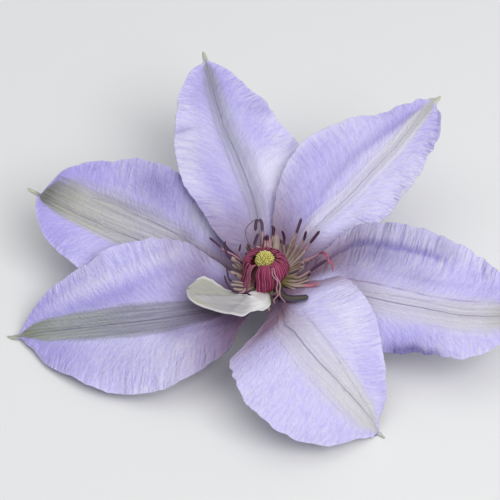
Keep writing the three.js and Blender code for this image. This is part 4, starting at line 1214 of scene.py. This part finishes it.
petaloidLook = {
    # the rim colour is the pale margin, partly its own pale rim and partly painted highlight, and is laid over the hood
    # as painted light
    "cream": (0.49, 0.475, 0.48), "warm": (0.4, 0.38, 0.4), "green": (0.4, 0.4, 0.34), "rim": (0.82, 0.8, 0.79),
    "yellow": (0.4, 0.42, 0.22),
    "bump": (0.4, 0.0004),
    "surface": {"Roughness": 0.45, "Subsurface Weight": 0.3, "Subsurface Radius": (0.0012, 0.001, 0.0008),
                "Subsurface Scale": 1.0},
}


def petaloidMaterial():
    material, tree, surface = newMaterial("petaloid cream")
    look = petaloidLook
    across, far = bladePlace(tree)
    out = unsigned(tree, scaled(tree, across, 2.0, -1.0))
    streak = noiseAt(tree, axes(tree, times(tree, across, 14.0), times(tree, far, 3.0)), 1.0, 4.0)
    colour = layered(
        tree, look["cream"],
        (ramp(tree, streak, [(0.4, 0.0), (0.65, 0.8)]), look["warm"]),
        # the hood is painted lighter as painted light; the margin is paler, partly its own rim and partly painted
        # highlight
        (times(tree, attribute(tree, "lobe"), 0.75), look["green"]),
        (times(tree, attribute(tree, "hood"), 0.75), look["rim"]),
        (attribute(tree, "stain"), look["yellow"]),
        (ramp(tree, out, [(0.8, 0.0), (0.98, 0.7)]), look["rim"]))
    finishMaterial(tree, surface, look, colour, streak)
    return material


def makePetaloid():
    spec = petaloid

    def swelling(t, name):
        height, place, reach = spec[name]
        return height * np.exp(-((t - place) / reach) ** 2)

    def creases(t, v, arc):
        hood = swelling(t, "vault") * (1 - v * v) + swelling(t, "lip") * smooth(-v)
        ridge = swelling(t - 0.06 * v, "ridge")
        wavy = spec["wavy"] * roughness(t * 12 + 3, v * 3 + 40, spec["seed"]) * smooth(t * 4)
        return hood + ridge + wavy - sum(fold[2] * nearFold(fold, t, v, arc) for fold in spec["folds"])

    piece, t, v, arc = gridBlade("petaloid_blade", spec, spec["stepsAcross"], spec["steps"], spec["thickness"],
                                 False, creases)
    parting = np.interp(t, *np.array(spec["folds"][0][0]).T)
    # the vaulted base, the hood, is painted lighter as painted light
    note(piece, lobe=smooth((parting - v) * 6) * smooth((t - 0.45) * 8), hood=smooth((0.44 - t) * 7),
         stain=hump(t, v, spec["stain"]))
    thicken(piece, spec["thickness"])
    return finishPiece(piece, ["petaloid"], [petaloidMaterial()])


makePetaloid()

# stalk and receptacle

stalk = {
    "radius": 1.6, "flare": 1.5, "ribs": 6, "ribHeight": 0.07, "cutRadius": 1.35,
    "sides": 36, "cuts": 70, "turns": 48,  # of the meshes of shaft and receptacle
    "route": [(0, 0, -2.8), (0.4, 1.2, -8), (3, 8.5, -12.4), (7.5, 18.5, -13.36), (12, 28.5, -13.36),
              (15.5, 38.5, -13.36)],
    "boss": [(0.05, -4.8), (2.6, -4.4), (4, -3.4), (4.7, -2), (4.7, 3.9), (4.4, 4.4), (3.4, 4.4), (3.25, 6.0),
             (2.95, 6.3), (0.05, 6.4)],
    "hairs": 520, "hairLength": 0.5, "hairRadius": 0.03, "hairSunk": 0.08,
    "hairLean": 0.35, "hairSlide": 0.25, "hairSizes": (0.6, 1.1),
    "clearance": 0.01,  # over the surface that the flower lies on
    "seed": 21,
}
stalkLook = {
    "green": (0.2, 0.25, 0.07), "rib": (0.3, 0.33, 0.12), "purple": (0.2, 0.1, 0.1), "cut": (0.5, 0.52, 0.3),
    "boss": (0.3, 0.27, 0.05),
    "noises": ((160.0, 4.0), (1500.0, 3.0)),  # scale and detail, of its patches and its grain
    "bump": (0.4, 0.00015),
    "surface": {"Roughness": 0.55},
}


def stalkMaterial():
    material, tree, surface = newMaterial("stalk green")
    look = stalkLook
    patch, grain = (noiseAt(tree, objectPlace(tree), scale, detail) for scale, detail in look["noises"])
    colour = layered(
        tree, look["green"],
        (attribute(tree, "rib"), look["rib"]),
        (ramp(tree, patch, [(0.5, 0.0), (0.72, 0.7)]), look["purple"]),
        (attribute(tree, "cut"), look["cut"]),
        (attribute(tree, "boss"), look["boss"]))
    finishMaterial(tree, surface, look, colour, grain)
    return material


def makeStalk():
    spec = stalk
    random = np.random.RandomState(spec["seed"])
    shaft = strapTemplate("shaft", spec["sides"], spec["cuts"])

    def sizes(u):
        radius = spec["radius"] + spec["flare"] * (1 - smooth(u * 6))
        return radius, radius

    def ribbed(x, y, u):
        ribs = 1 + spec["ribHeight"] * np.cos(spec["ribs"] * np.arctan2(y, x)) * smooth((u - 0.05) * 6)
        return x * ribs, y * ribs

    def sideways(centre):
        return np.tile([1.0, -0.4, 0], (len(centre), 1))

    u, _, co = drawOut(shaft, spec["route"], sizes, sideways, ribbed)
    low = surfaceLevel + spec["clearance"]
    flat = np.maximum(co, [-1e3, -1e3, low])
    movePoints(shaft, flat)
    curve, _ = smoothPath(spec["route"])
    centre = np.stack([np.interp(u, np.linspace(0, 1, len(curve)), curve[:, k]) for k in range(3)], 1)
    apart = np.linalg.norm(co - centre, axis=1)
    note(shaft, rib=smooth((apart / sizes(u)[0] - 0.95) * 9), cut=(u > 0.999) * (apart < spec["cutRadius"]) * 1.0)

    # hairs stand on the shaft, each leaning a little at random
    hair = added("hairTemplate", bpy.ops.mesh.primitive_cone_add, vertices=3, radius1=1, radius2=0.15, depth=1,
                 end_fill_type="NOTHING")
    cone = points(hair)
    hairs = []
    outward = unit(co - centre)
    usable = np.where((u > 0.12) & (u < 0.985) & (flat[:, 2] > surfaceLevel + 0.5))[0]
    for k in random.choice(usable, spec["hairs"], replace=True):
        tip = unit(outward[k] + random.uniform(-spec["hairLean"], spec["hairLean"], 3))
        if flat[k][2] + tip[2] * spec["hairLength"] < low + 0.05:
            continue
        a = unit(np.cross(tip, [0.3, 0.5, 0.8]))
        b = np.cross(tip, a)
        piece = copied(hair, "hair")
        size = spec["hairLength"] * random.uniform(*spec["hairSizes"])
        slide = random.uniform(-spec["hairSlide"], spec["hairSlide"], 3)
        slide -= outward[k] * (slide @ outward[k])
        foot = flat[k] + slide - outward[k] * spec["hairSunk"]
        around = (a * cone[:, :1] + b * cone[:, 1:2]) * spec["hairRadius"]
        movePoints(piece, foot + around + tip * ((cone[:, 2:] + 0.5) * size))
        note(piece, rib=1.0, cut=1.0)
        hairs.append(piece)
    removed(hair)
    whole = joined([shaft, makeReceptacle()] + hairs, "stalk_and_receptacle")
    return finishPiece(whole, ["stalk"], [stalkMaterial()])


def makeReceptacle():  # turned from its profile
    boss = added("boss", bpy.ops.mesh.primitive_plane_add, size=1)
    bpy.ops.object.mode_set(mode="EDIT")
    bpy.ops.mesh.delete(type="VERT")
    bpy.ops.object.mode_set(mode="OBJECT")
    profile = smoothCorner(stalk["boss"])
    lines = [(i, i + 1) for i in range(len(profile) - 1)]
    boss.data.from_pydata([(r * mm, 0, z * mm) for r, z in profile], lines, [])
    bpy.ops.object.mode_set(mode="EDIT")
    bpy.ops.mesh.select_all(action="SELECT")
    bpy.ops.mesh.spin(steps=stalk["turns"], angle=2 * math.pi, center=(0, 0, 0), axis=(0, 0, 1))
    bpy.ops.mesh.select_all(action="SELECT")
    bpy.ops.mesh.remove_doubles(threshold=0.00006)
    bpy.ops.mesh.normals_make_consistent(inside=False)
    bpy.ops.object.mode_set(mode="OBJECT")
    movePoints(boss, points(boss) / mm)
    height = points(boss)[:, 2] / mm - origin[2]
    note(boss, rib=0.3, cut=0.0, boss=0.85 * smooth((height - 2.5) / 1.5))
    return boss


def smoothCorner(profile):  # two points more between each pair, then eased round the corners
    way = np.array([(r, 0, z) for r, z in profile], float)
    out = np.array([mix(a, b, k / 3) for a, b in zip(way[:-1], way[1:]) for k in range(3)] + [way[-1]])
    eased = out.copy()
    eased[1:-1] = 0.25 * out[:-2] + 0.5 * out[1:-1] + 0.25 * out[2:]
    eased[:, 0] = np.minimum(eased[:, 0], flowerBase["receptacleRadius"])
    return [(r, z) for r, _, z in eased]


makeStalk()
print("centre, petaloid and stalk made")


# floor, lights and camera

stage = {"floorSize": 6.0, "floor": (0.85, 0.85, 0.84), "roughness": 0.8}
floor = added("floor", bpy.ops.mesh.primitive_plane_add, size=stage["floorSize"])
paleFloor, _, surface = newMaterial("paleFloor")
surface.inputs["Base Color"].default_value = (*stage["floor"], 1)
surface.inputs["Roughness"].default_value = stage["roughness"]
floor.data.materials.append(paleFloor)
floor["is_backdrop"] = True

view = {
    "elevation": 50.0, "distance": 520.0, "sensor": 36.0, "clipStart": 0.01,
    "picture": 500.0, "pixelsPerMm": 3.4, "basePixel": (269.0, 287.0),  # where the flower's base is in the picture
}


def placeCamera():
    up = math.radians(view["elevation"])
    right = np.array([1.0, 0, 0])
    top = np.array([0, math.sin(up), math.cos(up)])
    forward = np.array([0, math.cos(up), -math.sin(up)])
    middle = view["picture"] / 2
    aim = right * (middle - view["basePixel"][0]) / view["pixelsPerMm"]
    aim = aim - top * (middle - view["basePixel"][1]) / view["pixelsPerMm"]
    at = (origin + aim - forward * view["distance"]) * mm
    bpy.ops.object.camera_add(location=at, rotation=(math.pi / 2 - up, 0, 0))
    camera = bpy.context.object
    camera.data.sensor_width = view["sensor"]
    camera.data.lens = view["pixelsPerMm"] * view["distance"] / view["picture"] * view["sensor"]
    camera.data.clip_start = view["clipStart"]
    bpy.context.scene.camera = camera


startFresh()
placeCamera()

lights = {
    "key": {"place": (0.5, -0.5, 0.9), "size": 0.8, "power": 7.2},
    "sky": {"place": (-0.15, 0.1, 1.1), "size": 1.2, "power": 4.2},
    "world": {"colour": (0.92, 0.95, 1.0), "strength": 0.33},
}


def addSoftLight(name, spec):
    bpy.ops.object.light_add(type="AREA", location=spec["place"])
    lamp = bpy.context.object
    lamp.name = name
    lamp.data.energy = spec["power"]
    lamp.data.size = spec["size"]
    lamp.rotation_euler = (-Vector(spec["place"])).to_track_quat("-Z", "Y").to_euler()


for name in ("key", "sky"):
    addSoftLight(name, lights[name])
world = bpy.data.worlds.new("softGrey")
world.use_nodes = True
background = world.node_tree.nodes["Background"]
background.inputs["Color"].default_value = (*lights["world"]["colour"], 1)
background.inputs["Strength"].default_value = lights["world"]["strength"]
bpy.context.scene.world = world
bpy.context.scene.view_settings.view_transform = "Standard"

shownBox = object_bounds()
{"cad": [list(corner) for corner in cadBox], "visual": [list(corner) for corner in shownBox]}
print("floor, lights and camera placed")
